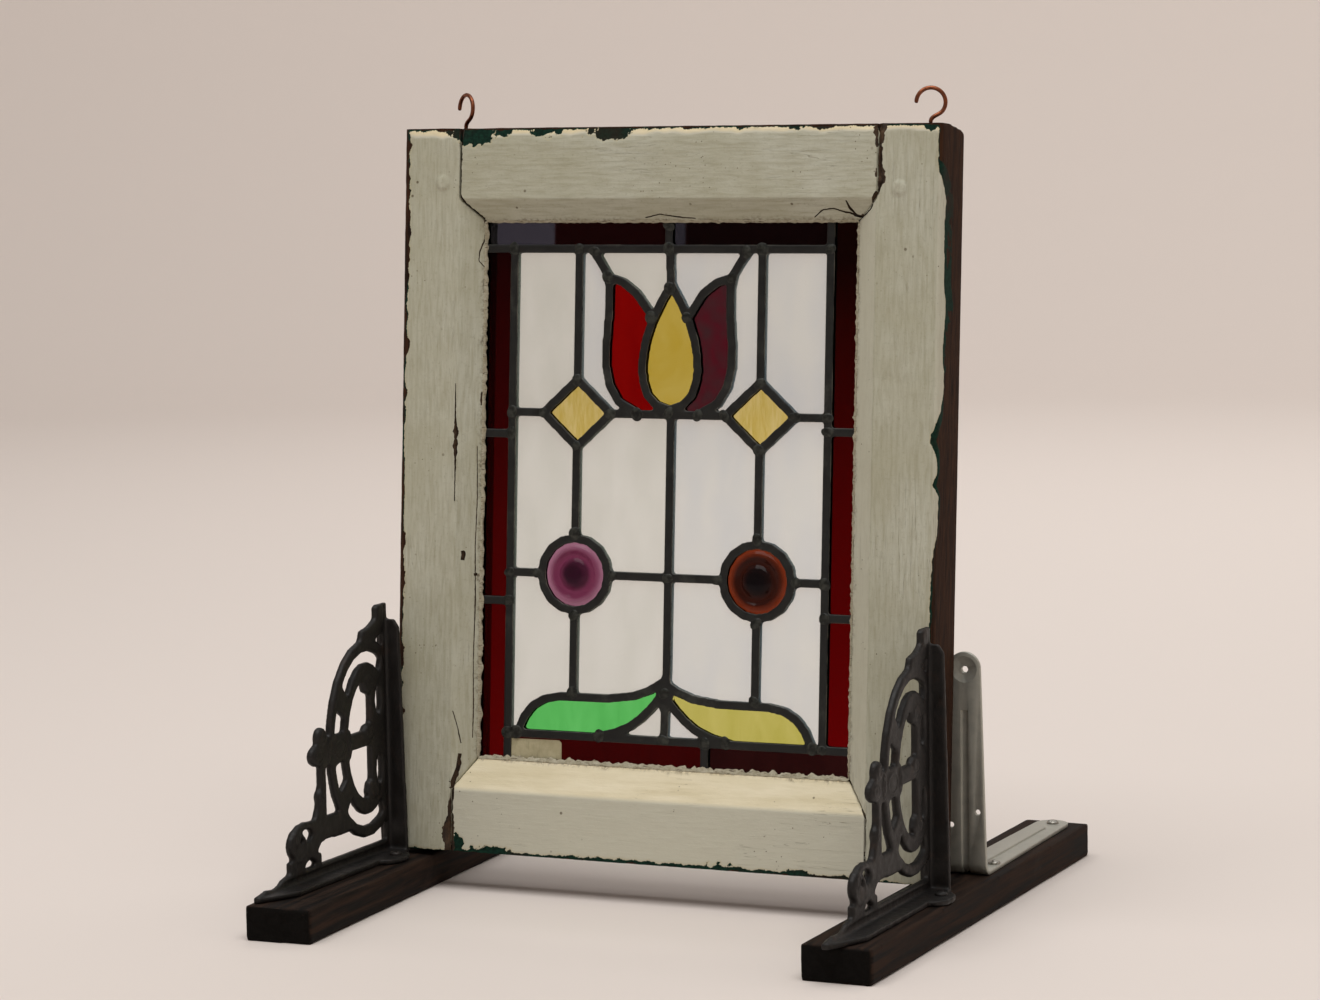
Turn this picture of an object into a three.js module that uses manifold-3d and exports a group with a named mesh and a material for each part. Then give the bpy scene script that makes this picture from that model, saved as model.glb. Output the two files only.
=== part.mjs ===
// A small leaded window in a painted timber sash. It leans back between the openwork cast-iron
// brackets and the pressed steel angle brackets of a two-footed stand.
// Millimetres, +X right, +Y back, +Z up; the origin is under the middle of the stand.

import * as THREE from "three";
import { mergeVertices } from "three/addons/utils/BufferGeometryUtils.js";
import Module from "manifold-3d";

const wasm = await Module();
wasm.setup();

// ---- Driving dimensions ----

const GAP = 0.3; // clearance between pieces that touch

// Timber sash: x from its middle, z up from its bottom edge, y back from its front face
const SASH = { width: 422, height: 534, depth: 48, arris: 6 };
const FACE_OPENING = { left: -163.5, right: 163.5, bottom: 46, top: 481.5 };
const SIGHT = { left: -146.5, right: 145.5, bottom: 70, top: 465 };
const MOULDING_DEPTH = 12; // from the face back to the sight edge
const LIP_BACK = 13.3; // back of the lip that the glass lies against
const REBATE = 8; // how far the rebate is let in behind the lip
const JOINT = 0.5; // open joint between rail and stile
const LEAN = THREE.MathUtils.degToRad(4.7);

// Leaded light: H-section cames and 3 mm glass
const LEAD = { face: 6.3, heart: 1.5, leaf: 1.1, slot: 3.2 };
const GLASS = 2.8;
const PANEL_FRONT = LIP_BACK + 0.2;
const BORDER = { x: 124.5, bottom: 89.3, top: 445.7 }; // lead round the clear field
const COLUMN_X = 72; // upright leads, diamonds and roundels
const TULIP_X = 1.2; // the tulip stands a little right of the middle
const TULIP_ROW = 325.7;
const ROUNDEL_ROW = 207.7;
const DIAMOND = { halfWidth: 27, halfHeight: 24.6 };
const ROUNDEL_RADIUS = 26.6; // middle of the ring of lead
const ROUNDEL_SIDES = 16;
const PUTTY = { width: 7.5, depth: 11 };

// Stand
const FOOT = { width: 51, length: 454, height: 25, edge: 1 };
const FEET = {
  left: { corner: [-223.6, -199], turn: 2, ironX: -212.5, steelX: -203 },
  right: { corner: [184.8, -178.9], turn: -1, ironX: 212.8, steelX: 217.5 },
};
const IRON_TURN = -1.4; // degrees, both castings
const WEB = 4; // thickness of the openwork web
const FLANGE = { left: -6.5, right: 16.3, topRight: 12.8, thickness: 4, height: 176 };
const IRON_LENGTH = 192;
const STEEL = { thickness: 3, height: 161.4, length: 203, bend: 9, rib: 7 };

// ---- Making solids ----

const UPRIGHT = new THREE.Matrix4().makeRotationX(Math.PI / 2);
const CROSSWISE = new THREE.Matrix4().makeBasis(
  new THREE.Vector3(0, -1, 0),
  new THREE.Vector3(0, 0, 1),
  new THREE.Vector3(-1, 0, 0),
);

function extrude(shape, low, high, segments = 6) {
  const geometry = new THREE.ExtrudeGeometry(shape, {
    depth: high - low,
    bevelEnabled: false,
    curveSegments: segments,
  });
  return geometry.translate(0, 0, low);
}

// A shape drawn in (x, y), between two heights z.
const level = (shape, low, high, segments) => solid(extrude(shape, low, high, segments));

// A shape drawn in (x, z), between two depths y.
const upright = (shape, front, back, segments) =>
  solid(extrude(shape, -back, -front, segments).applyMatrix4(UPRIGHT));

// A shape drawn forward (-y) and up (z), between two places x.
const crosswise = (shape, left, right, segments) =>
  solid(extrude(shape, -right, -left, segments).applyMatrix4(CROSSWISE));

function solid(geometry) {
  const bare = geometry.clone();
  bare.deleteAttribute("normal");
  bare.deleteAttribute("uv");
  const merged = mergeVertices(bare, 1e-4);
  return new wasm.Manifold(
    new wasm.Mesh({
      numProp: 3,
      vertProperties: merged.attributes.position.array,
      triVerts: new Uint32Array(merged.index.array),
    }),
  );
}

function geometryOf(body) {
  const mesh = body.getMesh();
  const places = new Float32Array(mesh.numVert * 3);
  for (let i = 0; i < mesh.numVert; i += 1) {
    const from = i * mesh.numProp;
    places.set(mesh.vertProperties.subarray(from, from + 3), i * 3);
  }
  const geometry = new THREE.BufferGeometry();
  geometry.setAttribute("position", new THREE.BufferAttribute(places, 3));
  geometry.setIndex(new THREE.BufferAttribute(mesh.triVerts, 1));
  const faceted = geometry.toNonIndexed();
  faceted.computeVertexNormals();
  return faceted;
}

const join = (bodies) => bodies.reduce((whole, body) => whole.add(body));
const cut = (body, holes) => holes.reduce((rest, hole) => rest.subtract(hole), body);

function piece(name, body, look) {
  const mesh = new THREE.Mesh(geometryOf(body), new THREE.MeshStandardMaterial(look));
  mesh.name = name;
  return mesh;
}

const vectors = (points) => points.map(([x, y]) => new THREE.Vector2(x, y));
const polygon = (points) => new THREE.Shape(vectors(points));
const mirrored = (points) => points.map(([x, y]) => [-x, y]);

const rectangle = (left, bottom, right, top) =>
  polygon([
    [left, bottom],
    [right, bottom],
    [right, top],
    [left, top],
  ]);

const boxShape = (box, grow = 0) =>
  rectangle(box.left - grow, box.bottom - grow, box.right + grow, box.top + grow);

function oval(x, y, radiusX, radiusY = radiusX) {
  const shape = new THREE.Shape();
  shape.absellipse(x, y, radiusX, radiusY, 0, 2 * Math.PI);
  return shape;
}

function curve(points, steps) {
  const line = new THREE.SplineCurve(vectors(points));
  return line.getPoints(steps).map((point) => [point.x, point.y]);
}

// A four-sided funnel from one box at the front to another at the back.
function funnel(front, frontY, back, backY) {
  const corners = [
    [front, frontY],
    [back, backY],
  ].flatMap(([box, y]) => [
    [box.left, y, box.bottom],
    [box.right, y, box.bottom],
    [box.right, y, box.top],
    [box.left, y, box.top],
  ]);
  const faces = [
    [0, 1, 2, 3],
    [7, 6, 5, 4],
    [0, 4, 5, 1],
    [1, 5, 6, 2],
    [2, 6, 7, 3],
    [3, 7, 4, 0],
  ];
  const geometry = new THREE.BufferGeometry();
  geometry.setAttribute(
    "position",
    new THREE.BufferAttribute(new Float32Array(corners.flat()), 3),
  );
  geometry.setIndex(faces.flatMap(([a, b, c, d]) => [a, b, c, a, c, d]));
  return solid(geometry);
}

const grown = (box, by) => ({
  left: box.left - by,
  right: box.right + by,
  bottom: box.bottom - by,
  top: box.top + by,
});

// ---- Timber sash ----

const REBATE_BOX = grown(SIGHT, REBATE);

function sashBlank() {
  const half = SASH.width / 2;
  const plan = new THREE.Shape();
  plan.moveTo(-half + SASH.arris, 0);
  plan.lineTo(half - SASH.arris, 0);
  plan.absarc(half - SASH.arris, SASH.arris, SASH.arris, -Math.PI / 2, 0);
  plan.lineTo(half, SASH.depth);
  plan.lineTo(-half, SASH.depth);
  plan.absarc(-half + SASH.arris, SASH.arris, SASH.arris, Math.PI, 1.5 * Math.PI);
  const slope = (FACE_OPENING.right - SIGHT.right) / MOULDING_DEPTH;
  const faceAhead = {
    left: FACE_OPENING.left - slope,
    right: FACE_OPENING.right + slope,
    bottom: FACE_OPENING.bottom - (SIGHT.bottom - FACE_OPENING.bottom) / MOULDING_DEPTH,
    top: FACE_OPENING.top + (FACE_OPENING.top - SIGHT.top) / MOULDING_DEPTH,
  };
  return cut(level(plan, 0, SASH.height, 3), [
    funnel(faceAhead, -1, SIGHT, MOULDING_DEPTH),
    upright(boxShape(SIGHT), MOULDING_DEPTH - 1, LIP_BACK + 1),
    upright(boxShape(REBATE_BOX), LIP_BACK, SASH.depth + 1),
  ]);
}

// The line between rail and stile: straight down the face, then along the mitre of the moulding
// and on into the opening.
function jointLine(side, end, shift) {
  const outer = end === "top" ? SASH.height + 1 : -1;
  const face = [FACE_OPENING[side], FACE_OPENING[end]];
  const sight = [SIGHT[side], SIGHT[end]];
  const inner = [0, 1].map((i) => sight[i] + 0.4 * (sight[i] - face[i]));
  return [[face[0], outer], face, inner].map(([x, z]) => [x + shift, z]);
}

function stile(side) {
  const out = side === "left" ? -1 : 1;
  const edge = out * (SASH.width / 2 + 1);
  const shift = (out * JOINT) / 2;
  const outline = [
    [edge, -1],
    ...jointLine(side, "bottom", shift),
    ...jointLine(side, "top", shift).reverse(),
    [edge, SASH.height + 1],
  ];
  const blank = sashBlank().intersect(upright(polygon(outline), -1, SASH.depth + 1));
  return side === "right" ? cut(blank, [wornTop()]) : blank;
}

// The top end of the right stile has worn down towards its back edge.
const wornTop = () =>
  crosswise(
    polygon([
      [-17, SASH.height],
      [-42, SASH.height - 3],
      [-49, SASH.height - 5.5],
      [-49, SASH.height + 1],
      [-17, SASH.height + 1],
    ]),
    0,
    SASH.width,
  );

function rail(end) {
  const outline = [
    ...jointLine("left", end, JOINT / 2),
    ...jointLine("right", end, -JOINT / 2).reverse(),
  ];
  return sashBlank().intersect(upright(polygon(outline), -1, SASH.depth + 1));
}

// A triangular fillet of putty from the wall of the rebate to the back of the cames.
function puttyFillet() {
  const front = PANEL_FRONT + 2 * LEAD.leaf + LEAD.slot + GAP;
  const outer = grown(REBATE_BOX, -GAP);
  const inner = grown(outer, -PUTTY.width);
  const slope = PUTTY.width / PUTTY.depth;
  return upright(boxShape(outer), front, front + PUTTY.depth).subtract(
    funnel(grown(inner, -slope), front - 1, grown(outer, slope), front + PUTTY.depth + 1),
  );
}

// ---- Lead cames ----

const PANEL = grown(REBATE_BOX, -0.5);

// A flat strip of the given half width along a line of points, as a shape.
function strip({ points, closed }, half) {
  const line = vectors(points);
  const count = line.length;
  const at = (i) => line[closed ? (i + count) % count : THREE.MathUtils.clamp(i, 0, count - 1)];
  const offsets = line.map((point, i) => {
    const ends = [at(i).clone().sub(at(i - 1)), at(i + 1).clone().sub(at(i))];
    const runs = ends.filter((run) => run.lengthSq() > 0).map((run) => run.normalize());
    const along = runs[0].clone().add(runs[runs.length - 1]).normalize();
    const across = new THREE.Vector2(-along.y, along.x);
    return across.multiplyScalar(half / along.dot(runs[0]));
  });
  const left = line.map((point, i) => point.clone().add(offsets[i]));
  const right = line.map((point, i) => point.clone().sub(offsets[i]));
  if (!closed) return new THREE.Shape([...right, ...left.reverse()]);
  const anticlockwise = THREE.ShapeUtils.area(line) > 0;
  const [outside, inside] = anticlockwise ? [right, left] : [left.reverse(), right.reverse()];
  const shape = new THREE.Shape(outside);
  shape.holes.push(new THREE.Path(inside));
  return shape;
}

const open = (...points) => ({ points, closed: false });

// Every line of lead, in (x, z) along the middle of its face.
function leadLines() {
  const ring = new THREE.EllipseCurve(0, 0, ROUNDEL_RADIUS, ROUNDEL_RADIUS);
  const ringPoints = ring.getPoints(ROUNDEL_SIDES).slice(1);
  const perimeter = grown(PANEL, -LEAD.face / 2);
  const midX = 2.5; // the middle lead stands a little right of centre below the tulip
  const petal = [
    [0, 419.8],
    [11.5, 400],
    [19.1, 380],
    [21.8, 362],
    [20.6, 349],
    [14.5, 336],
    [0, 329.3],
  ];
  const lines = [
    {
      closed: true,
      points: [
        [perimeter.left, perimeter.bottom],
        [perimeter.right, perimeter.bottom],
        [perimeter.right, perimeter.top],
        [perimeter.left, perimeter.top],
      ],
    },
    // the border leads run past each other in turn, like a pinwheel
    open([-BORDER.x, perimeter.bottom], [-BORDER.x, BORDER.top]),
    open([perimeter.left, BORDER.top], [BORDER.x, BORDER.top]),
    open([BORDER.x, perimeter.top], [BORDER.x, BORDER.bottom]),
    open([perimeter.right, BORDER.bottom], [-BORDER.x, BORDER.bottom]),
    // joins between the border strips
    open([perimeter.left, 310], [-BORDER.x, 310]),
    open([perimeter.left, 186.7], [-BORDER.x, 186.7]),
    open([BORDER.x, 315.9], [perimeter.right, 315.9]),
    open([BORDER.x, 183.2], [perimeter.right, 183.2]),
    open([-1, BORDER.top], [-1, perimeter.top]),
    open([33.7, perimeter.bottom], [33.7, BORDER.bottom]),
    // middle lead
    open([0.3, BORDER.top], [0.6, 416]),
    open([midX, TULIP_ROW], [midX, 140], [TULIP_X, BORDER.bottom]),
    open([TULIP_X, petal[6][1]], [TULIP_X, TULIP_ROW]),
    open([DIAMOND.halfWidth - COLUMN_X, TULIP_ROW], [COLUMN_X - DIAMOND.halfWidth, TULIP_ROW]),
    {
      closed: true,
      points: curve([...petal, ...mirrored(petal).reverse().slice(1)], 18)
        .slice(1)
        .map(([x, z]) => [x + TULIP_X, z]),
    },
  ];
  for (const side of [-1, 1]) {
    const place = side < 0 ? mirrored : (points) => points;
    const half = [
      [[COLUMN_X, BORDER.top], [COLUMN_X, TULIP_ROW + DIAMOND.halfHeight]],
      [[COLUMN_X, TULIP_ROW - DIAMOND.halfHeight], [COLUMN_X, ROUNDEL_ROW + ROUNDEL_RADIUS]],
      [[COLUMN_X, ROUNDEL_ROW - ROUNDEL_RADIUS], [COLUMN_X, 117.5]],
      [[COLUMN_X + DIAMOND.halfWidth, TULIP_ROW], [BORDER.x, TULIP_ROW]],
      [[COLUMN_X + ROUNDEL_RADIUS, ROUNDEL_ROW], [BORDER.x, ROUNDEL_ROW]],
      [[side * midX, ROUNDEL_ROW], [COLUMN_X - ROUNDEL_RADIUS, ROUNDEL_ROW]],
    ];
    const outerPetal = [
      [62, BORDER.top],
      [54.5, 435],
      [48.8, 425],
      [47.3, 411],
      [48.6, 386],
      [49.7, 366],
      [47.4, 350],
      [40.5, 336],
      [24, 326.5],
    ];
    const petalTop = [
      [48.8, 425],
      [37.2, 421.5],
      [26.5, 413.7],
      [13 + side * TULIP_X, 395],
    ];
    const leafTop = [
      [-2.5, 133.5],
      [10.8, 125.4],
      [24, 120.6],
      [44, 118],
      [66, 117.6],
      [84, 117.5],
      [95, 115.3],
      [104.5, 109.7],
      [111, 101.5],
      [117, 88.5],
    ];
    const leafBottom = [
      [-2, 126],
      [10, 111.5],
      [17, 104.8],
      [26, 98.3],
      [38, 93.2],
      [52, 90],
    ];
    const diamond = [
      [COLUMN_X + DIAMOND.halfWidth, TULIP_ROW],
      [COLUMN_X, TULIP_ROW + DIAMOND.halfHeight],
      [COLUMN_X - DIAMOND.halfWidth, TULIP_ROW],
      [COLUMN_X, TULIP_ROW - DIAMOND.halfHeight],
    ];
    half.forEach((points) => lines.push({ points: place(points), closed: false }));
    lines.push({ points: place(curve(outerPetal, 9)), closed: false });
    lines.push({ points: place(curve(petalTop, 3)), closed: false });
    lines.push({ points: place(curve(leafTop, 9)), closed: false });
    lines.push({ points: place(curve(leafBottom, 5)), closed: false });
    lines.push({ points: place(diamond), closed: true });
    lines.push({
      points: ringPoints.map((point) => [side * COLUMN_X + point.x, ROUNDEL_ROW + point.y]),
      closed: true,
    });
  }
  return lines;
}

function leadLayer(half, front, back) {
  return join(leadLines().map((line) => upright(strip(line, half), front, back)));
}

// Solder fills the space between the leads that meet above the leaves.
const knot = (grow) =>
  polygon([
    [-3 - grow, 134 + grow],
    [-5.5 - grow, 122],
    [-2 - grow, 111 - grow],
    [4.5 + grow, 111 - grow],
    [8 + grow, 122],
    [5.5 + grow, 134 + grow],
  ]);

function leadCames() {
  const slotFront = PANEL_FRONT + LEAD.leaf;
  const slotBack = slotFront + LEAD.slot;
  const bite = LEAD.leaf / 2;
  return join([
    upright(knot(0), PANEL_FRONT, slotBack + LEAD.leaf),
    leadLayer(LEAD.face / 2, PANEL_FRONT, slotFront),
    leadLayer(LEAD.heart / 2, slotFront - bite, slotBack + bite),
    leadLayer(LEAD.face / 2, slotBack, slotBack + LEAD.leaf),
  ]);
}

// ---- Glass ----

const GLASS_FRONT = PANEL_FRONT + LEAD.leaf + (LEAD.slot - GLASS) / 2;
const CLEAR = "#dfe0dc";
const RED = "#5a0303";
const OCHRE = "#b3a350";

// Each pane's name, the middle of its box and its colour.
const PANES = [
  ["border_left_lower", -137, 127, RED],
  ["border_left_middle", -137, 248, RED],
  ["border_left_upper", -137, 376, RED],
  ["border_top_left", -75, 457, "#2c1216"],
  ["border_top_right", 60, 457, "#1f0608"],
  ["border_right_upper", 137, 393, RED],
  ["border_right_middle", 137, 250, RED],
  ["border_right_lower", 137, 137, RED],
  ["border_bottom_left", -45, 78, RED],
  ["border_bottom_right", 90, 78, "#260a10"],
  ["clear_top_left", -30, 420, CLEAR],
  ["clear_top_right", 30, 420, CLEAR],
  ["petal_left", -34, 376, "#6d0000"],
  ["petal_centre", 1, 373, OCHRE],
  ["petal_right", 36, 376, "#41161e"],
  ["leaf_left", -56, 106, "#5abd5f"],
  ["leaf_right", 57, 106, "#b9b455"],
];
for (const [side, sign] of [["left", -1], ["right", 1]]) {
  PANES.push([`clear_upper_${side}`, sign * 98, 390, CLEAR]);
  PANES.push([`clear_tulip_${side}`, sign * 58, 385, CLEAR]);
  PANES.push([`diamond_${side}`, sign * COLUMN_X, TULIP_ROW, OCHRE]);
  PANES.push([`clear_middle_outer_${side}`, sign * 98, 266, CLEAR]);
  PANES.push([`clear_middle_inner_${side}`, sign * 36, 266, CLEAR]);
  PANES.push([`clear_lower_outer_${side}`, sign * 98, 155, CLEAR]);
  PANES.push([`clear_lower_inner_${side}`, sign * 36, 163, CLEAR]);
  PANES.push([`clear_foot_${side}`, sign * 16, 101, CLEAR]);
}

const glassLook = (color) => ({
  color,
  roughness: 0.08,
  metalness: 0,
  transparent: true,
  opacity: color === CLEAR ? 0.25 : 0.85,
});

// The sheet is cut by the hearts of the cames; each pane is the part left round its place.
function panes() {
  const clearance = LEAD.heart / 2 + GAP;
  const edge = LEAD.face / 2;
  const sheet = upright(
    boxShape(grown(PANEL, -edge)),
    GLASS_FRONT,
    GLASS_FRONT + GLASS,
  );
  const parts = sheet
    .subtract(leadLayer(clearance, GLASS_FRONT - 1, GLASS_FRONT + GLASS + 1))
    .subtract(upright(knot(GAP), GLASS_FRONT - 1, GLASS_FRONT + GLASS + 1))
    .decompose();
  return PANES.map(([name, x, z, color]) => {
    const away = (part) => {
      const { min, max } = part.boundingBox();
      return Math.hypot((min[0] + max[0]) / 2 - x, (min[2] + max[2]) / 2 - z);
    };
    const nearest = parts.reduce((best, part) => (away(part) < away(best) ? part : best));
    return piece(name, nearest, glassLook(color));
  });
}

// A pressed roundel: a flat rim, a proud ring and a bull's-eye, turned about its own axis.
function roundel(side, color) {
  const flats = Math.cos(Math.PI / ROUNDEL_SIDES);
  const rim = (ROUNDEL_RADIUS - LEAD.heart / 2) * flats - GAP;
  const profile = [
    [0, 0],
    [rim, 0],
    [rim, GLASS],
    [23, GLASS],
    [20, 5.2],
    [16.5, 5],
    [13.5, 3.2],
    [8, 6.4],
    [0, 5.4],
  ];
  const geometry = new THREE.LatheGeometry(vectors(profile), ROUNDEL_SIDES);
  geometry.rotateX(Math.PI);
  geometry.translate(
    (side === "left" ? -1 : 1) * COLUMN_X,
    GLASS_FRONT + GLASS,
    ROUNDEL_ROW,
  );
  return piece(`roundel_${side}`, solid(geometry), glassLook(color));
}

// The small sticker on the bottom border strip, bare.
const paperLabel = () =>
  upright(
    polygon([
      [-121, 70.6],
      [-80.2, 71.2],
      [-80.4, 83.5],
      [-82.4, 85.4],
      [-121, 85],
    ]),
    GLASS_FRONT - 0.5,
    GLASS_FRONT - 0.2,
  );

// ---- Hooks ----

// A question-mark screw hook of round wire, standing on z = 0, open towards -x.
function wireHook() {
  const wire = 1.45;
  const radius = 10.4;
  const middle = 15;
  const path = [
    [0, 0],
    [0.1, 3],
    [2.6, 5.4],
    [7.4, 7.8],
  ];
  for (let degrees = -20; degrees <= 185; degrees += 20.5) {
    const angle = THREE.MathUtils.degToRad(degrees);
    path.push([radius * Math.cos(angle), middle + radius * Math.sin(angle)]);
  }
  const line = new THREE.CatmullRomCurve3(path.map(([x, z]) => new THREE.Vector3(x, 0, z)));
  return solid(
    new THREE.ExtrudeGeometry(oval(0, 0, wire), {
      steps: 17,
      curveSegments: 4,
      extrudePath: line,
    }),
  );
}

// ---- Feet ----

function footBar() {
  const { width, length, height, edge } = FOOT;
  const section = polygon([
    [edge, 0],
    [width - edge, 0],
    [width, edge],
    [width, height - edge],
    [width - edge, height],
    [edge, height],
    [0, height - edge],
    [0, edge],
  ]);
  return upright(section, 0, length);
}

// ---- Iron brackets ----

// Drawn forward from the window and up from the foot: two ovals, one inside the other, crossed by
// a collar, with a finial, a prop and a C scroll in front and a pointed toe.
function ironWeb() {
  const middle = [34, 91.5];
  const ovals = [
    [56, 73.5],
    [48, 64.3],
    [35, 56.8],
    [28, 44],
  ];
  const ovalSolid = ([rx, rz], low = -WEB / 2, high = WEB / 2) =>
    crosswise(oval(...middle, rx, rz), low, high, 13);
  const through = (shape, segments) => crosswise(shape, -WEB, WEB, segments);
  const web = (shape, segments) => crosswise(shape, -WEB / 2, WEB / 2, segments);

  // a stretch of the space between the ovals, from one direction to another in degrees
  const between = (from, to) => {
    const reach = 120;
    const fan = [from, (from + to) / 2, to].map((degrees) => {
      const angle = THREE.MathUtils.degToRad(degrees);
      return [middle[0] + reach * Math.cos(angle), middle[1] + reach * Math.sin(angle)];
    });
    return ovalSolid(ovals[1], -WEB, WEB)
      .subtract(ovalSolid(ovals[2], -2 * WEB, 2 * WEB))
      .intersect(through(polygon([middle, ...fan])));
  };

  const eye = through(oval(...middle, ...ovals[3]), 12).intersect(
    through(rectangle(29.5, 0, 100, 200)),
  );
  const bar = through(rectangle(0, 85.7, 100, 98));
  const scrollEnds = [through(oval(30, 133, 10), 4), through(oval(26, 52, 10), 4)];
  const toe = polygon([
    [146, 0],
    [146, 13],
    [157, 10.5],
    [163, 7.5],
    [170, 6],
    [180, 7.3],
    [IRON_LENGTH, 4.5],
    [IRON_LENGTH, 0],
  ]);
  const prop = polygon([
    [95, 40],
    [95, 84],
    [103, 84],
    [103.5, 70],
    [105, 61],
    [108, 52],
    [112, 44],
  ]);
  const lug = polygon([
    [0, 170],
    [0, 188],
    [14, 188],
    [17.5, 186],
    [17.5, 178],
    [27, 173.5],
    [38, 171.5],
    [41, 163],
    [30, 158],
  ]);
  const solids = join([
    ovalSolid(ovals[0]),
    web(rectangle(0, 0, 8, 176)),
    web(rectangle(0, 0, 150, 12)),
    web(toe),
    web(prop),
    web(lug),
    web(rectangle(62, 27, 131, 45)),
    web(rectangle(58, 80, 96, 102)),
    web(oval(100, 102.5, 7.5, 8), 6),
    web(oval(104, 90.5, 12.5, 8.5), 6),
    web(oval(126, 31.5, 23, 14.7), 8),
    web(rectangle(104, 10, 148, 20.5)),
  ]);
  const cheeks = web(rectangle(58, 80, 96, 102));
  const holes = [
    between(52, 112),
    cut(between(10, 32), [cheeks]),
    cut(between(-39, -16), [cheeks]),
    between(-110, -58),
    cut(eye, [bar, cheeks, ...scrollEnds]),
    through(oval(17, 118, 4, 11), 4),
    through(oval(17, 66, 4, 11), 4),
    through(rectangle(8, 13, 25, 19)),
    // space between the prop and the outer oval
    cut(through(rectangle(74, 50, 95, 80)), [ovalSolid(ovals[0], -2 * WEB, 2 * WEB)]),
    // arch under the outer oval
    through(
      polygon([
        [42, 12],
        [42, 16.5],
        [55, 18],
        [66, 21.5],
        [77, 25],
        [88, 28],
        [98, 28],
        [105, 24],
        [102, 12],
      ]),
    ),
    through(oval(126, 35.5, 10, 5), 4),
    through(
      polygon([
        [110, 12.5],
        [132, 12.5],
        [120, 18],
      ]),
    ),
  ];
  const front = through(rectangle(0, 0, 250, 250));
  return cut(solids, holes).intersect(front);
}

function ironBracket() {
  const { left, right, topRight, thickness, height } = FLANGE;
  const flange = polygon([
    [left, 0],
    [right, 0],
    [topRight, height - 6],
    [topRight - 4, height],
    [left + 4, height],
    [left, height - 6],
  ]);
  const sole = polygon([
    [left, 0],
    [right, 0],
    [right, -160],
    [11, -174],
    [2, -IRON_LENGTH],
    [-3, -IRON_LENGTH],
    [left, -178],
  ]);
  const eye = oval(16, -27, 11.5, 18.5);
  return join([
    ironWeb(),
    upright(flange, -thickness, 0),
    level(sole, 0, thickness),
    level(eye, 0, thickness, 8),
  ]);
}

// ---- Steel brackets ----

// The edge of the bent plate: along the foot, round the bend and up, drawn back (-) and up.
function bentStrip(outerSkin, innerSkin) {
  const { height, length, bend } = STEEL;
  const shape = new THREE.Shape();
  shape.moveTo(-outerSkin, height);
  shape.lineTo(-outerSkin, bend);
  shape.absarc(-bend, bend, bend - outerSkin, 0, -Math.PI / 2, true);
  shape.lineTo(-length, outerSkin);
  shape.lineTo(-length, innerSkin);
  shape.absarc(-bend, bend, bend - innerSkin, -Math.PI / 2, 0);
  shape.lineTo(-innerSkin, height);
  return shape;
}

function steelBracket() {
  const { thickness, height, length, rib } = STEEL;
  const upper = new THREE.Shape();
  upper.moveTo(-16, -1);
  upper.lineTo(16, -1);
  upper.absarc(0, height - 12, 12, 0, Math.PI);
  const lower = new THREE.Shape();
  lower.moveTo(-16, -1);
  lower.lineTo(-12.5, length - 12.5);
  lower.absarc(0, length - 12.5, 12.5, Math.PI, 0, true);
  lower.lineTo(16, -1);
  const plate = crosswise(bentStrip(0, thickness), -20, 20, 4)
    .intersect(upright(upper, -1, length + 1, 8))
    .intersect(level(lower, -1, height + 1, 8));
  const ribEnds = upright(rectangle(-rib, -1, rib, height - 42), -1, length - 36);
  const ridge = crosswise(bentStrip(1.6, thickness + 1.5), -rib / 2, rib / 2, 4);
  const groove = crosswise(bentStrip(-1, 1.5), 1 - rib / 2, rib / 2 - 1, 4);
  const hole = (x, z, radius) => upright(oval(x, z, radius), -1, thickness + 1, 3);
  return cut(plate.add(ridge.intersect(ribEnds)), [
    groove.intersect(ribEnds),
    hole(0.5, height - 12.5, 2.6),
    hole(-10.5, 36.3, 2.2),
    hole(9.5, 46.4, 2.2),
  ]);
}

// A round-headed screw, its head standing on z = 0.
function screwHead() {
  const profile = [
    [0, 0],
    [4.6, 0],
    [4.4, 1],
    [2.9, 2.2],
    [0, 2.7],
  ];
  const geometry = new THREE.LatheGeometry(vectors(profile), 10);
  return solid(geometry.rotateX(Math.PI / 2));
}

// ---- Assembly ----

const PAINTED_WOOD = { color: "#a09e87", roughness: 0.75, metalness: 0 };
const LEAD_LOOK = { color: "#2a2c28", roughness: 0.6, metalness: 0.6 };
const WIRE_LOOK = { color: "#6b3c28", roughness: 0.4, metalness: 0.9 };
const BLACK_WOOD = { color: "#1c1815", roughness: 0.8, metalness: 0 };
const CAST_IRON = { color: "#1d1b19", roughness: 0.6, metalness: 0.6 };
const STEEL_LOOK = { color: "#8f8c80", roughness: 0.45, metalness: 0.8 };
const PUTTY_LOOK = { color: "#8e8774", roughness: 0.9, metalness: 0 };
const PAPER_LOOK = { color: "#8f8569", roughness: 0.9, metalness: 0 };

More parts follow.
